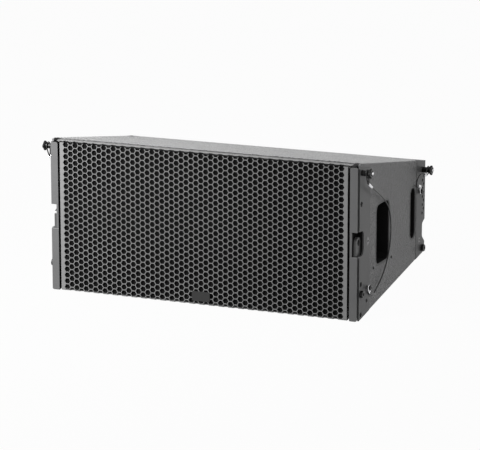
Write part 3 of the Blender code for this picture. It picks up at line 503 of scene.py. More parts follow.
# Loops of the eyes: half their width and half their height
PIN_LOOP = (11.5, 15.4)
ANCHOR_LOOP = (6, 10.5)
PIN_LOOP_GAP = 0.6
ANCHOR_LOOP_GAP = 0.3
PIN_BEND = 7.1
THIMBLE_BEND = 4.1


def smooth_route(points, spacing, first_from, last_to):
    """Points along a Catmull-Rom curve that leaves and arrives in line with two outer points."""
    route = [Vector(point) for point in points]
    leaving = (route[0] - Vector(first_from)).normalized() * (route[1] - route[0]).length
    arriving = (Vector(last_to) - route[-1]).normalized() * (route[-1] - route[-2]).length
    ends = [route[1] - 2 * leaving, *route, route[-2] + 2 * arriving]
    found = []
    for before, start, end, after in zip(ends, ends[1:], ends[2:], ends[3:]):
        count = max(2, round((end - start).length / spacing))
        for step in range(count):
            t = step / count
            bend = 2 * before - 5 * start + 4 * end - after
            twist = 3 * start - before - 3 * end + after
            found.append((2 * start + (end - before) * t + bend * t**2 + twist * t**3) / 2)
    return [*found, route[-1]]


def oval(x, centre, half_width, half_height):
    return [
        Vector((x, centre[0] + y * half_width, centre[1] + z * half_height))
        for y, z in circle((0, 0), 2, 12)
    ]


def nearest(points, target):
    return min(points, key=lambda point: (point - Vector(target)).length)


def teardrop(x, centre, radius, point):
    """A wire loop round a pin at the centre, drawn in towards the ferrule's point."""
    run = Vector((point[1] - centre[0], point[2] - centre[1]))
    aim = math.atan2(run.y, run.x)
    turn = math.acos(min(0.95, radius / run.length))
    loop = []
    for y, z in arc(centre, radius, aim + turn, aim + 2 * math.pi - turn, 28):
        loop.append(Vector((x, y, z)))
    side = Vector((0, -math.sin(aim), math.cos(aim)))
    last = [Vector(point) - side * WIRE * 0.55, Vector(point) + side * WIRE * 0.55]
    for far, near in ((loop[-1], last[0]), (last[1], loop[0])):
        for step in range(1, 5):
            share = step / 5
            bowed = far.lerp(near, share)
            middle = Vector((x, *centre)).lerp(Vector(point), 0.5)
            outward = (bowed - middle).normalized()
            if (bowed - Vector(point)).length > 2:
                loop.append(bowed + outward * math.sin(math.pi * share) * 0.6)
        if near is last[0]:
            loop.extend(last)
    return loop


def crimp(name, start, end):
    """Pressed ferrule with a waist under each jaw mark."""
    run = Vector(end) - Vector(start)
    length = run.length
    profile = [(0, 1.6), (0, 2.3), (0.5, 2.8)]
    for mark in (0.25, 0.5, 0.75):
        at = length * mark
        profile += [(at - 0.8, 2.8), (at - 0.35, 2.35), (at + 0.35, 2.35), (at + 0.8, 2.8)]
    profile += [(length - 0.5, 2.8), (length, 2.3), (length, 1.4)]
    return turned(name, start, run, profile, 20)


def make_lanyard(end, pull, shape, ends):
    """Wire with a loop and a ferrule at each end, along the route that part.py gives it."""
    y, pin_height, anchor = LINES[end], PIN_HEIGHTS[end], ANCHORS[end]
    top, bottom = pin_height + ends[0], anchor[1] + ends[1]
    route = [(PLATE_OUTER + out, y + back, bottom + up * (top - bottom)) for out, back, up in shape]
    hang = pin_height + (BARREL + WIRE) / 2 + PIN_LOOP_GAP
    top_loop = oval(PIN_EYE_X, (y, hang - PIN_LOOP[1]), *PIN_LOOP)
    low = anchor[1] + pull * (ANCHOR_LOOP[1] - STUD_RADIUS - WIRE / 2 - ANCHOR_LOOP_GAP)
    low_loop = oval(WIRE_X, (anchor[0], low), *ANCHOR_LOOP)
    starts = nearest(top_loop, route[0]), nearest(low_loop, route[-1])
    loop = teardrop(PIN_EYE_X, (y, pin_height), PIN_BEND, starts[0])
    settle(ring_of_wire(f"{end}_pin_loop_right", loop), "wire")
    thimble = teardrop(WIRE_X, anchor, THIMBLE_BEND, starts[1])
    settle(ring_of_wire(f"{end}_thimble_right", thimble), "bright")
    places = ((f"{end}_pin_eye", starts[0], route[0]), (f"{end}_anchor_eye", starts[1], route[-1]))
    for name, start, stop in places:
        ferrule = crimp(f"{name}_ferrule_right", start, stop)
        look = "link" if name == "front_anchor_eye" else "bright"
        settle(ferrule, look, nodes=(f"{name}_right",))
    points = smooth_route(route, 3 * WIRE, *starts)
    for index, (side, sign) in enumerate((("right", 1), ("left", -1))):
        curve = bpy.data.curves.new(f"{end}_wire_{side}", "CURVE")
        curve.dimensions = "3D"
        curve.bevel_depth = WIRE / 2000
        curve.bevel_resolution = 3
        curve.use_fill_caps = True
        curve.materials.append(FINISHES["wire"])
        spline = curve.splines.new("POLY")
        spline.points.add(len(points) - 1)
        spline.use_smooth = True
        placed = [TO_ROW @ Vector((sign * p.x, p.y, p.z)) for p in points]
        for target, point in zip(spline.points, placed):
            target.co = (*point, 1)
        wire = linked(f"{end}_wire_{side}", curve)
        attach(wire, "cabinet")
        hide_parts(f"{end}_lanyard_{side}")


make_lanyard("front", pull=-1, shape=FRONT_WIRE_SHAPE, ends=(-30.5, -16.7))
make_lanyard("rear", pull=1, shape=REAR_WIRE_SHAPE, ends=(-4.5, 14.5))


# Coated wooden shell

PANEL_START = 9.6
PANEL = 16.7
BACK_INNER = 348.5
RECESS_HALF = 300.4
RECESS_END = 12.2
STRIP_FLOOR = 145.2
STRIP_REBATE_HALF = 304
COAT_OVER_BRACKET = 4.2
CHANNEL_GAP = 0.4
PLATE_GAP = 0.3
MOUTH_GAP = 0.6
FRONT_MOUTH_LOW = (96, -63)
FRONT_MOUTH_HIGH = (166, 55)
FRONT_MOUTH_ROUND = 14
REAR_MOUTH_CENTRE = (297, -2)
REAR_MOUTH_WIDTH = 30
REAR_MOUTH_HEIGHT = 104
LINK_SLOT_LOW = (304.4, 5)
LINK_SLOT_HIGH = (313.6, 29.5)
SOCKET_WELL = 25
BEAD_SPAN = 303
BEAD_STEPS = 240
BEAD_HEIGHT = 147.5
BEAD = 1.2
BEAD_CHANGE = 0.9


def wedge_outline(start, end, inset=0.0):
    """The wedge between two places on Y, set in from its top and its underside."""
    front, rear = outer_height(start) - inset, outer_height(end) - inset
    return ((start, -front), (end, -rear), (end, rear), (start, front))


def front_mouth(grow, rounding=0.8):
    """Outline of the large grip's mouth, grown by some millimetres."""
    low = [place - grow for place in FRONT_MOUTH_LOW]
    high = [place + grow for place in FRONT_MOUTH_HIGH]
    return rounded_box(low, high, FRONT_MOUTH_ROUND + grow * rounding)


def rear_mouth(grow, steps=14):
    """Outline of the small grip's mouth, grown by some millimetres."""
    width, height = REAR_MOUTH_WIDTH + 2 * grow, REAR_MOUTH_HEIGHT + 2 * grow
    return obround(REAR_MOUTH_CENTRE, width, height, steps)


def rough_edge():
    """Uneven bead where the sprayed coating ends behind the smooth strip; its darker colour is painted
    shade of the groove there.
    """
    rings = []
    for step in range(BEAD_STEPS + 1):
        x = -BEAD_SPAN + 2 * BEAD_SPAN * step / BEAD_STEPS
        ring = []
        for side in range(8):
            angle = math.pi * side / 4
            slow = noise.noise(Vector((x * 0.16, side * 0.7, 0)))
            quick = noise.noise(Vector((x * 0.45, side, 5)))
            reach = BEAD + BEAD_CHANGE * max(slow + quick, -1)
            y = STRIP_END + 0.7 + reach * math.cos(angle)
            ring.append((x, y, BEAD_HEIGHT + reach * math.sin(angle) * 1.1))
        rings.append(ring)
    return loft("coating_edge_painted_shade", rings)


def side_cutters(side, sign):
    """What one side of the shell leaves free for its brackets, links and grips."""
    inner, outer = SIDE_INNER - CHANNEL_GAP, PLATE_INNER - PLATE_GAP
    front_channel_end = FRONT_CHANNEL_BACK + LIP + PLATE_GAP
    front_end, rear_start = FRONT_PLATE_END + PLATE_GAP, REAR_PLATE_START - PLATE_GAP
    spans = (
        ("front_channel", inner, wedge_outline(AHEAD, front_channel_end, COAT_OVER_BRACKET)),
        ("front_rebate", outer, wedge_outline(AHEAD, front_end, COAT_OVER_BRACKET)),
        ("rear_channel", inner, wedge_outline(REAR_CHANNEL_START - PLATE_GAP, BEHIND, AHEAD)),
        ("rear_rebate", outer, wedge_outline(rear_start, BEHIND, AHEAD)),
        ("front_mouth", 250, front_mouth(MOUTH_GAP, 1)),
        ("rear_mouth", 250, rear_mouth(MOUTH_GAP, 12)),
    )
    cutters = []
    for name, near, outline in spans:
        low, high = sorted((sign * near, sign * BESIDE))
        cutters.append(plate(f"{name}_{side}", "X", low, high, outline))
    slot = [(sign * x, y) for x, y in rounded_box(LINK_SLOT_LOW, LINK_SLOT_HIGH, 3)]
    cutters.insert(4, plate(f"link_slot_{side}", "Z", -300, 300, slot))
    return cutters


def make_shell():
    foot = 1 - REAR_HEIGHT / 2
    profile = wedge_outline(PANEL_START, DEPTH)
    outline = (*profile[:3], (STRIP_END, FRONT_TOP), (PANEL_START, FRONT_TOP))
    shell = plate("coated_cabinet", "X", -HALF_WIDTH, HALF_WIDTH, outline)
    rounded_edges(shell, 2.6, 4, lambda point: point.z > 0)
    rounded_edges(shell, 0.9, 2, lambda point: point.z < foot and abs(point.x) > SIDE_INNER)
    hollow = wedge_outline(AHEAD, BACK_INNER, PANEL)
    recess = wedge_outline(AHEAD, RECESS_END, -20)
    rebate = rectangle((AHEAD, STRIP_FLOOR), (STRIP_END, ABOVE))
    cutters = [plate("inside", "X", -SIDE_INNER, SIDE_INNER, hollow)]
    cutters.append(plate("face_recess", "X", -RECESS_HALF, RECESS_HALF, recess))
    cutters.append(plate("strip_rebate", "X", -STRIP_REBATE_HALF, STRIP_REBATE_HALF, rebate))
    cutters += side_cutters("right", 1) + side_cutters("left", -1)
    for name, x in SOCKET_PLACES.items():
        cutters.append(plate(f"{name}_hole", "Y", 300, BEHIND, circle((x, 0), SOCKET_WELL)))
    cut(shell, *cutters)
    panels = ("top_panel", "bottom_panel", "rear_panel", "side_panel_left", "side_panel_right")
    settle(shell, "coating", nodes=panels, hands=False, smooth=30)
    # The bead's dark finish is painted shade of the groove behind the smooth strip
    settle(rough_edge(), "edge", hands=False, smooth=30)


make_shell()


# Grips: moulded cups with a rolled lip


def grip_skin(name, outline_at, steps):
    """Each step is how far out of the side it lies and how much its outline grows."""
    rings = []
    for out, grow in steps:
        rings.append([(HALF_WIDTH + out, y, z) for y, z in outline_at(grow)])
    return loft(name, rings, capped=False)


def make_grip(name, outline_at, depth):
    lip_steps = ((-0.4, 2.6), (0.35, 1.9), (0.45, 0.6), (0.1, -0.9), (-1.2, -2.1))
    cup_steps = (lip_steps[-1], (-4, -2.7), (8 - depth, -4.5), (4 - depth, -5.5), (2.4 - depth, -8))
    lip = grip_skin(f"{name}_lip_right", outline_at, lip_steps)
    settle(lip, "powder", nodes=(f"{name}_right",), smooth=50)
    cup = grip_skin(f"{name}_cup_right", outline_at, cup_steps)
    shape = bmesh.new()
    shape.from_mesh(cup.data)
    deep = HALF_WIDTH - depth + 3
    rim = [edge for edge in shape.edges if edge.is_boundary and edge.verts[0].co.x < deep]
    bmesh.ops.contextual_create(shape, geom=rim)
    shape.to_mesh(cup.data)
    shape.free()
    settle(cup, "plastic", nodes=(f"{name}_right",), smooth=50)


make_grip("front_grip", front_mouth, depth=54)
make_grip("rear_grip", rear_mouth, depth=44)


# Grille with its true fine perforation, folded back along its foot

PITCH = 11.7
COLUMN_STEP = PITCH * math.sqrt(3) / 2
LAST_COLUMN = 28
LAST_ROW = 15
PERFORATED_HALF = 12.6 * PITCH
HOLE_ACROSS = 10.45
GRILLE_HALF = 296.5
SHEET = 1.5
BEND = 2.0
FOOT_RETURN = 7
FACE_TOP = 147.5
CUT_TOP = 144.5
STRIP_HALF = 303.6
STRIP_START = 2.6
STRIP_LOW = 146.3
STRIP_HIGH = 147.4


def folded(point):
    """Where a point of the flat sheet's outer face lies once its foot is folded back."""
    x, along = point.x, -point.z
    start = FACE_TOP - BEND
    if along <= start:
        return Vector((x, 0, point.z))
    angle = (along - start) / BEND
    if angle < math.pi / 2:
        y, z = BEND - BEND * math.cos(angle), start + BEND * math.sin(angle)
    else:
        y, z = BEND + along - start - BEND * math.pi / 2, FACE_TOP
    return Vector((x, y, -z))


def top_strip():
    """Smooth strip over the grille's free edge, with half a hole above every second column."""
    end, depth = STRIP_END - 0.3, STRIP_START + 3
    front = [(-STRIP_HALF, STRIP_START)]
    for column in range(-LAST_COLUMN, LAST_COLUMN + 1, 2):
        middle = column * COLUMN_STEP
        front += [(middle - 5.2, STRIP_START), (middle - 2.9, depth)]
        front += [(middle + 2.9, depth), (middle + 5.2, STRIP_START)]
    front += [(STRIP_HALF, STRIP_START), (STRIP_HALF, end), (-STRIP_HALF, end)]
    return bevelled(plate("top_strip", "Z", STRIP_LOW, STRIP_HIGH, front), 0.3, 2)


def perforated_sheet(length):
    """Flat sheet with its holes, a little larger than the grille."""
    shape = bmesh.new()
    for column in range(-LAST_COLUMN - 2, LAST_COLUMN + 3):
        for row in range(-LAST_ROW, LAST_ROW + 1):
            centre = (column * COLUMN_STEP, (row + column % 2 / 2) * PITCH)
            if abs(centre[1]) > length + PITCH:
                continue
            outer = [shape.verts.new((x, 0, z)) for x, z in hexagon(centre, PITCH)]
            if abs(column) > LAST_COLUMN or abs(centre[1]) >= PERFORATED_HALF:
                shape.faces.new(outer)
                continue
            inner = [shape.verts.new((x, 0, z)) for x, z in hexagon(centre, HOLE_ACROSS)]
            for index in range(6):
                following = (index + 1) % 6
                shape.faces.new((outer[index], outer[following], inner[following], inner[index]))
    bmesh.ops.remove_doubles(shape, verts=shape.verts, dist=0.01)
    return shape


def split(shape, place, normal, clear=False):
    """Cuts the sheet along a plane, and clears what lies beyond it where asked."""
    everything = shape.verts[:] + shape.edges[:] + shape.faces[:]
    bmesh.ops.bisect_plane(
        shape, geom=everything, plane_co=place, plane_no=normal, clear_outer=clear
    )


def make_grille():
    start = FACE_TOP - BEND
    length = start + BEND * math.pi / 2 + FOOT_RETURN
    shape = perforated_sheet(length)
    split(shape, (GRILLE_HALF, 0, 0), (1, 0, 0), clear=True)
    split(shape, (-GRILLE_HALF, 0, 0), (-1, 0, 0), clear=True)
    split(shape, (0, 0, CUT_TOP), (0, 0, 1), clear=True)
    split(shape, (0, 0, -length), (0, 0, -1), clear=True)
    for step in range(5):
        split(shape, (0, 0, -start - BEND * math.pi / 2 * step / 4), (0, 0, 1))
    for vertex in shape.verts:
        vertex.co = folded(vertex.co)
    bmesh.ops.recalc_face_normals(shape, faces=shape.faces)
    if sum(face.normal.y * face.calc_area() for face in shape.faces) > 0:
        bmesh.ops.reverse_faces(shape, faces=shape.faces)
    mesh = bpy.data.meshes.new("hexagon_grille")
    shape.to_mesh(mesh)
    shape.free()
    grille = linked("hexagon_grille", mesh)
    sheet = grille.modifiers.new("sheet", "SOLIDIFY")
    sheet.thickness = SHEET
    sheet.offset = -1
    applied(grille)
    joined(bevelled(grille, 0.25, 1, 50), top_strip())
    settle(grille, "grille", nodes=("front_grille",), hands=False, smooth=35)


make_grille()


# Steel brackets

SHEET_EDGE = 0.55
ACCESS_HOLE = 10
ACCESS_HOLES = (72.6, -80, -138)
SCREW_HOLE = 6.4
PLATE_BELOW_TOP = 4.4
NOTCH_TOP = 21.5
NOTCH_FOOT = -25.5
NOTCH_BACK = 28.7
NOTCH_ROUND = 10
NOTCH_STRIP_END = 305.4
LIP_END = 316
LIP_TOP = 143.4
LIP_CORNER = 3
CHANNEL_WEB_END = 315.2
REAR_NOTCH = ((365, -71), (353, -60.5), (351, -57), (351, -36), (353, -32), (365, -26))
ANGLE_HOLE = 6.4
ANGLE_HOLES_TOP = 61.5
ANGLE_HOLES_APART = 16.4


def front_side_plate():
    near, far, line = FRONT_PLATE_START, FRONT_PLATE_END, LINES["front"]
    turn = NOTCH_BACK - NOTCH_ROUND
    notch = arc((turn, NOTCH_TOP - NOTCH_ROUND), NOTCH_ROUND, math.pi / 2, 0, 8)
    notch += arc((turn, NOTCH_FOOT + NOTCH_ROUND), NOTCH_ROUND, 0, -math.pi / 2, 8)
    outline = [(near, -outer_height(near)), (far, -outer_height(far))]
    outline += [(far, outer_height(far) - PLATE_BELOW_TOP), (near, outer_height(near) - PLATE_BELOW_TOP)]
    outline += [(near, NOTCH_TOP), *notch, (near, NOTCH_FOOT)]
    holes = [circle((line, height), ACCESS_HOLE) for height in ACCESS_HOLES]
    for height in (PIN_HEIGHTS["front"], BOLT_HEIGHTS["front"]):
        holes.append(circle((line, height), PIN_HOLE))
    holes.append(circle(PLATE_SCREWS["front"], SCREW_HOLE))
    side = plate("front_bracket_right", "X", PLATE_INNER, PLATE_OUTER, outline, holes)
    return bevelled(side, SHEET_EDGE)


def front_lips(foot):
    """The bracket's front flange above and below the notch, and the strip that runs past it."""
    quarter = math.pi / 2
    upper = [(SIDE_INNER, NOTCH_TOP), (LIP_END, NOTCH_TOP)]
    upper += arc((LIP_END - 3.5, LIP_TOP - 3.5), 3.5, 0, quarter, 6)
    upper += arc((SIDE_INNER + LIP_CORNER, LIP_TOP - LIP_CORNER), LIP_CORNER, quarter, 2 * quarter, 5)
    low = foot + LIP_CORNER
    lower = arc((SIDE_INNER + LIP_CORNER, low), LIP_CORNER, 2 * quarter, 3 * quarter, 5)
    lower += arc((LIP_END - LIP_CORNER, low), LIP_CORNER, 3 * quarter, 4 * quarter, 5)
    lower += [(LIP_END, NOTCH_FOOT), (SIDE_INNER, NOTCH_FOOT)]
    rims = [plate("lip_upper", "Y", 0, LIP, upper), plate("lip_lower", "Y", 0, LIP, lower)]
    rounded_edges(rims[1], 1.5, 3, lambda point: abs(point.z - NOTCH_FOOT) < 0.1 and point.y < 0.1)
    strip = rectangle((SIDE_INNER, NOTCH_FOOT - 0.1), (NOTCH_STRIP_END, NOTCH_TOP + 0.1))
    return [*(bevelled(rim, 0.6) for rim in rims), bevelled(plate("strip", "Y", 0.3, LIP, strip), 0.3)]


def make_front_bracket():
    side = front_side_plate()
    foot = 1 - outer_height(0)
    joined(side, *front_lips(foot))
    back = FRONT_CHANNEL_BACK
    wall = ((FRONT_CHANNEL_START, foot), (back, 0.4 - outer_height(back)))
    wall += ((back, outer_height(back) - PLATE_BELOW_TOP), (FRONT_CHANNEL_START, 144))
    channel = plate("front_channel_right", "X", SIDE_INNER, CHANNEL_WALL, wall)
    web = rectangle((SIDE_INNER, -139), (CHANNEL_WEB_END, 139))
    joined(channel, plate("front_web", "Y", back, back + LIP, web))
    # The channel's near-black finish is painted shade behind the plate's holes and gap
    settle(channel, "inside", nodes=("front_rigging_plate_right",), smooth=35)
    settle(side, "powder", nodes=("front_rigging_plate_right",), smooth=35)


def rear_side_plate():
    line, near, top = LINES["rear"], REAR_PLATE_START, outer_height(DEPTH)
    holes = []
    for column, offset in enumerate((0, 7.5)):
        for row in range(5):
            height = ANGLE_HOLES_TOP - (row + (1 - column) / 2) * ANGLE_HOLES_APART
            holes.append(circle((line + offset, height), ANGLE_HOLE, 20))
    for height in (PIN_HEIGHTS["rear"], BOLT_HEIGHTS["rear"]):
        holes.append(circle((line, height), PIN_HOLE))
    outline = [(near, -outer_height(near)), (DEPTH, -top), *REAR_NOTCH]
    outline += [(DEPTH, top), (near, outer_height(near))]
    side = plate("rear_bracket_right", "X", PLATE_INNER, PLATE_OUTER, outline, holes)
    return bevelled(side, SHEET_EDGE)


def make_rear_bracket():
    side = rear_side_plate()
    top, start = outer_height(DEPTH), REAR_CHANNEL_START
    for name, low, high in (("upper", REAR_NOTCH[-1][1], top), ("lower", -top, REAR_NOTCH[0][1])):
        area = rectangle((SIDE_INNER, low), (LIP_END, high))
        joined(side, bevelled(plate(f"back_lip_{name}", "Y", DEPTH - LIP, DEPTH, area), SHEET_EDGE))
    wall = wedge_outline(start, DEPTH - 0.6, 0.4)
    channel = plate("rear_channel_right", "X", SIDE_INNER, CHANNEL_WALL, wall)
    web = rectangle((SIDE_INNER, -94), (CHANNEL_WEB_END, 94))
    joined(channel, plate("rear_web", "Y", start, start + LIP, web))
    # The channel's near-black finish is painted shade behind the plate's holes
    settle(channel, "inside", nodes=("rear_rigging_plate_right",), smooth=35)
    settle(side, "powder", nodes=("rear_rigging_plate_right",), smooth=35)


make_front_bracket()
make_rear_bracket()


# Links


def make_link(end, width, top, bottom, travel, finger, end_hole=None):
    """Slotted bar that slides on its bolt, with a finger hole at its head."""
    y, bolt = LINES[end], BOLT_HEIGHTS[end]
    slot = obround((y, bolt + travel / 2), PIN_HOLE, travel + PIN_HOLE, 12)
    holes = [slot, circle((y, top - width / 2), finger)]
    if end_hole:
        holes.append(circle((y, end_hole), PIN_HOLE))
    outline = obround((y, (top + bottom) / 2), width, top - bottom, 16)
    link = plate(f"{end}_slide_link_right", "X", LINK_CENTRE - 3, LINK_CENTRE + 3, outline, holes)
    bevelled(link, 0.7)
    settle(link, "link", f"{end}_link_right", (f"{end}_link_right",), smooth=35)


make_link("front", width=21, top=10, bottom=-144.5, travel=34, finger=11, end_hole=-134)
make_link("rear", width=19, top=-7, bottom=-91.5, travel=48, finger=9)


# Bolts, studs and screws

OUTWARD = (1, 0, 0)
KEY_DEPTH = 3.2
STUD_TOP = WIRE_X + WIRE / 2 + 0.3


def make_bolt(end, diameter=14, height=5.5, key=6):
    """Bolt that a link slides on, with a rounded rim and a hexagon socket."""
    y, z = LINES[end], BOLT_HEIGHTS[end]
    radius = diameter / 2
    profile = [(-1.5, radius * 0.6), (0, radius), (height - 0.9, radius)]
    profile += [(height - 0.35, radius - 0.25), (height, radius - 0.9)]
    head = turned(f"{end}_bolt_head_right", (PIN_SEAT, y, z), OUTWARD, profile, 28)
    top = PIN_SEAT + height
    cut(head, plate("bolt_key", "X", top - KEY_DEPTH, top + 5, hexagon((y, z), key)))
    shank = turned("bolt_shank", (SIDE_INNER + 0.4, y, z), OUTWARD, [(0, 4), (17.5, 4)], 20)
    settle(joined(head, shank), "steel", nodes=(f"{end}_link_bolt_right",))


def make_stud(end):
    """Stud with a wide head that holds the lanyard's thimble on the plate."""
    y, z = ANCHORS[end]
    neck = STUD_TOP - PIN_SEAT
    profile = [(0, STUD_RADIUS), (neck, STUD_RADIUS), (neck, 4.6), (neck + 0.5, 5)]
    profile += [(neck + 2.2, 5), (neck + 2.8, 4.5), (neck + 3, 3.6)]
    stud = turned(f"{end}_anchor_stud_right", (PIN_SEAT, y, z), OUTWARD, profile, 28)
    cut(stud, plate("stud_key", "X", STUD_TOP + 1, STUD_TOP + 6, hexagon((y, z), 3)))
    settle(stud, "steel", nodes=(f"{end}_lanyard_anchor_right",))


def make_screw(name, place, seat, diameter, look, key):
    """Low button head with a socket."""
    y, z = place
    radius = diameter / 2
    profile = [(-2, radius * 0.5), (-0.1, radius), (0.15, radius), (0.45, radius * 0.93)]
    profile += [(0.85, radius * 0.78), (1.1, radius * 0.55), (1.15, radius * 0.3)]
    screw = turned(name, (seat, y, z), OUTWARD, profile, 28)
    cut(screw, plate("screw_key", "X", seat - 1.5, seat + 3, hexagon((y, z), key)))
    settle(screw, look)


for end in LINES:
    make_bolt(end)
for end in ANCHORS:
    make_stud(end)
make_screw("front_plate_screw_right", PLATE_SCREWS["front"], PLATE_OUTER, 15, "screw", 5)
make_screw("rear_plate_screw_right", PLATE_SCREWS["rear"], PLATE_OUTER, 11, "screw", 4)
make_screw("front_plate_low_screw_right", (48.4, -118), PLATE_OUTER, 8, "steel", 3)
make_screw("front_plate_high_screw_right", (48.4, 118), PLATE_OUTER, 8, "steel", 3)
make_screw("grip_screw_low_right", (83, -63), HALF_WIDTH, 6, "steel", 2.4)
make_screw("grip_screw_high_right", (179, -63), HALF_WIDTH, 6, "steel", 2.4)


# Quick-release pins: lengths along the pin with the radius there

BARREL_PROFILE = (
    *((0, 4.6), (0, 5.3), (0.5, 5.75), (3, 5.75), (3.3, 5.35), (4.1, 5.35), (4.4, 5.75)),
    *((6.6, 5.75), (6.9, 5.35), (12.2, 5.35), (12.6, 5.75), (14.4, 5.75)),
)
SHANK_START = 302
SHANK_PROFILE = ((0, 2.6), (1.4, 3.9), (4.2, 3.9), (4.6, 3.6), (5.2, 3.6), (5.6, 3.9), (17, 3.9))
BUTTON_START = 332.5
BUTTON_PROFILE = ((0, 2.9), (6.4, 2.95), (7.4, 2.7), (7.95, 2.2), (8.2, 1.3), (8.28, 0.4))

# The knob's profile also gives the depth of the hollows between its four lobes
KNOB_PROFILE = (
    *((0, 6.0, 0.2), (0.2, 7.4, 0.8), (1.4, 8.8, 1.6), (3.0, 9.72, 2.2), (4.2, 9.72, 2.2)),
    *((5.0, 9.3, 2.1), (5.5, 8.4, 1.8), (5.4, 5.4, 0.4), (4.8, 4.4, 0), (4.2, 3.4, 0), (-1, 3.35, 0)),
)


def lobed(x, y, z, radius, lobe, steps=48):
    ring = []
    for step in range(steps):
        angle = 2 * math.pi * step / steps
        reach = radius - lobe * (1 - math.cos(4 * angle)) / 2
        ring.append((x, y + reach * math.cos(angle), z + reach * math.sin(angle)))
    return ring


def make_pin(end):
    y, z = LINES[end], PIN_HEIGHTS[end]
    barrel = turned(f"{end}_quick_pin_right", (PIN_SEAT, y, z), OUTWARD, BARREL_PROFILE, 36)
    shank = turned("pin_shank", (SHANK_START, y, z), OUTWARD, SHANK_PROFILE, 28)
    rings = [lobed(KNOB_START + along, y, z, radius, lobe) for along, radius, lobe in KNOB_PROFILE]
    knob = loft("pin_knob", rings, capped=False)
    settle(joined(barrel, shank, knob), "steel", f"{end}_pin_right", (f"{end}_pin_right",))
    place = (BUTTON_START, y, z)
    button = turned(f"{end}_push_button_right", place, OUTWARD, BUTTON_PROFILE, 28)
    settle(button, "bright", f"{end}_pin_button_right", (f"{end}_pin_button_right",))


for end in LINES:
    make_pin(end)


# Blank badge plate

BADGE_HALF = 18.5
BADGE_LOW = -140.5
BADGE_HIGH = -121.5


def make_badge():
    outline = rounded_box((-BADGE_HALF, BADGE_LOW), (BADGE_HALF, BADGE_HIGH), 3)
    badge = bevelled(plate("blank_badge", "Y", -1.1, -0.3, outline), 0.3)
    settle(badge, "badge", nodes=("badge_plate",), hands=False)


make_badge()


# Rear connectors

BOARD_BACK = 365.3
BOARD_FACE = 367.3
FLANGE_BACK = 367.6
FLANGE_FACE = 369.6
SOCKET_OPENING = 24.6
BORE = 19
BORE_FLOOR = 355.7
CONTACT_CIRCLE = 6.6


def make_board():
    holes = [circle((x, 0), SOCKET_OPENING) for x in SOCKET_PLACES.values()]
    outline = rounded_box((-80, -32), (80, 32), 6)
    board = plate("connector_board", "Y", BOARD_BACK, BOARD_FACE, outline, holes)
    settle(bevelled(board, 0.4), "powder", nodes=("connector_plate",), hands=False)


def make_board_screw(x, z):
    profile = [(0, 3.4), (0.9, 3.1), (1.6, 2.2), (1.9, 1.2)]
    head = turned(f"board_screw_{x}_{z}", (x, BOARD_FACE - 0.1, z), (0, 1, 0), profile, 24)
    cut(head, plate("board_screw_key", "Y", BOARD_FACE + 0.6, 372, hexagon((x, z), 1.8)))
    settle(head, "steel", hands=False)


def make_socket(name, x):
    """Square flange with a round shell, a core and four contacts behind it."""
    rim = rounded_box((x - 13, -15.5), (x + 13, 15.5), 3)
    bore = circle((x, 0), BORE)
    flange = bevelled(plate(f"{name}_body", "Y", FLANGE_BACK, FLANGE_FACE, rim, [bore]), 0.4)
    shell = turned("shell", (x, 369.4, 0), (0, -1, 0), [(0, 11.9), (21.8, 11.9)], 32)
    cut(shell, plate("bore", "Y", BORE_FLOOR, 380, bore))
    core = turned("core", (x, 366.5, 0), (0, -1, 0), [(0, 3.8), (0.5, 4.6), (11, 4.6)], 32)
    settle(joined(flange, shell, core), "plastic", nodes=(name,), hands=False)
    for index in range(4):
        angle = math.pi / 4 + index * math.pi / 2
        across, up = CONTACT_CIRCLE * math.cos(angle), CONTACT_CIRCLE * math.sin(angle)
        at = (x + across, BORE_FLOOR - 0.3, up)
        profile = [(0, 0.9), (4, 0.9), (4.4, 0.5)]
        settle(turned(f"{name}_contact_{index}", at, (0, 1, 0), profile, 12), "contact", hands=False)
    for side in (-1, 1):
        at = (x + side * 10.2, FLANGE_FACE - 0.1, side * 12.6)
        profile = [(-1, 1.4), (0, 1.4), (0.1, 1)]
        settle(turned(f"{name}_screw_{side}", at, (0, 1, 0), profile, 16), "steel", hands=False)


make_board()
for name, x in SOCKET_PLACES.items():
    make_socket(name, x)
for x in (-72, 0, 72):
    for z in (-25, 25):
        make_board_screw(x, z)


# Finishes of the solids that show as they are

PLAIN = {
    "grille_foam": "foam",
    "front_baffle": "plywood",
    "waveguide": "plastic",
    "compression_driver": "magnet",
}
for side in ("left", "right"):
    PLAIN[f"woofer_basket_{side}"] = "cast"
    PLAIN[f"woofer_cone_{side}"] = "paper"
    PLAIN[f"woofer_magnet_{side}"] = "magnet"
for name, look in PLAIN.items():
    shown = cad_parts[name]
    shown.data.materials.clear()
    shown.data.materials.append(FINISHES[look])


# Studio

WORLD_LIGHT = 0.12
FLOOR_TONE = 0.25
FLOOR_WHITE = 0.97


def lamp(name, place, aim, size, power, spread):
    """Area lamp; places and sizes are in metres in the row frame, the spread in degrees."""
    light = bpy.data.lights.new(name, "AREA")
    light.shape = "RECTANGLE"
    light.size, light.size_y = size
    light.energy = power
    light.spread = math.radians(spread)
    made = bpy.data.objects.new(name, light)
    scene.collection.objects.link(made)
    made.location = place
    made.rotation_euler = (Vector(aim) - Vector(place)).to_track_quat("-Z", "Y").to_euler()


def background_sees(tree):
    """1 for rays from the camera, in reflections and through glass."""
    path = tree.nodes.new("ShaderNodeLightPath")
    total = path.outputs["Is Camera Ray"]
    for kind in ("Is Glossy Ray", "Is Transmission Ray"):
        add = node(tree, "ShaderNodeMath", operation="ADD")
        add.use_clamp = True
        tree.links.new(total, add.inputs[0])
        tree.links.new(path.outputs[kind], add.inputs[1])
        total = add.outputs["Value"]
    return total


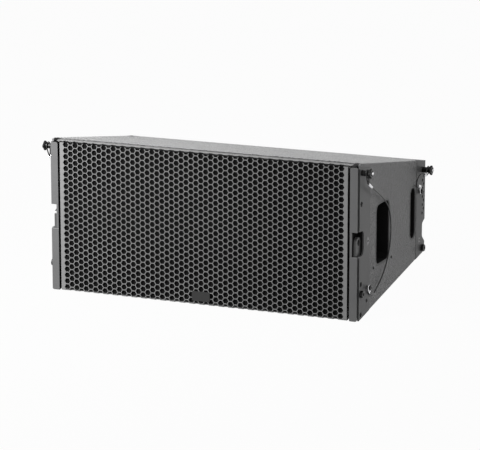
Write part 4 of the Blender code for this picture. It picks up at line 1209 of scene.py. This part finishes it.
def make_world():
    world = bpy.data.worlds.new("studio")
    world.use_nodes = True
    scene.world = world
    tree = world.node_tree
    plain = tree.nodes["Background"]
    plain.inputs["Color"].default_value = (1, 1, 1, 1)
    plain.inputs["Strength"].default_value = WORLD_LIGHT
    white = node(tree, "ShaderNodeBackground")
    white.inputs["Color"].default_value = (1, 1, 1, 1)
    white.inputs["Strength"].default_value = 1
    mix = node(tree, "ShaderNodeMixShader")
    tree.links.new(background_sees(tree), mix.inputs["Fac"])
    tree.links.new(plain.outputs["Background"], mix.inputs[1])
    tree.links.new(white.outputs["Background"], mix.inputs[2])
    tree.links.new(mix.outputs["Shader"], tree.nodes["World Output"].inputs["Surface"])


def make_floor():
    """Pale floor that looks white to the camera and keeps a trace of the object's shadow."""
    shape = bmesh.new()
    bmesh.ops.create_grid(shape, x_segments=1, y_segments=1, size=12)
    mesh = bpy.data.meshes.new("floor")
    shape.to_mesh(mesh)
    shape.free()
    floor = linked("floor", mesh)
    floor.location.z = -0.0005  # clear of the cabinet's underside
    made = bpy.data.materials.new("pale_floor")
    made.use_nodes = True
    tree = made.node_tree
    shader = tree.nodes["Principled BSDF"]
    shader.inputs["Base Color"].default_value = (FLOOR_TONE, FLOOR_TONE, FLOOR_TONE, 1)
    shader.inputs["Roughness"].default_value = 0.9
    shader.inputs["Specular IOR Level"].default_value = 0.1
    white = node(tree, "ShaderNodeEmission", Strength=1)
    part = node(tree, "ShaderNodeMath", operation="MULTIPLY")
    part.inputs[1].default_value = FLOOR_WHITE
    tree.links.new(background_sees(tree), part.inputs[0])
    mix = node(tree, "ShaderNodeMixShader")
    tree.links.new(part.outputs["Value"], mix.inputs["Fac"])
    tree.links.new(shader.outputs["BSDF"], mix.inputs[1])
    tree.links.new(white.outputs["Emission"], mix.inputs[2])
    tree.links.new(mix.outputs["Shader"], tree.nodes["Material Output"].inputs["Surface"])
    mesh.materials.append(made)


lamp("key", (-0.85, -0.85, 1.0), aim=(-0.28, -0.2, 0.28), size=(0.5, 0.5), power=12.8, spread=110)
lamp("fill", (0.95, -0.35, 0.85), aim=(0.32, -0.02, 0.34), size=(0.4, 0.4), power=0.34, spread=60)
make_world()
make_floor()
scene.view_settings.view_transform = "Standard"
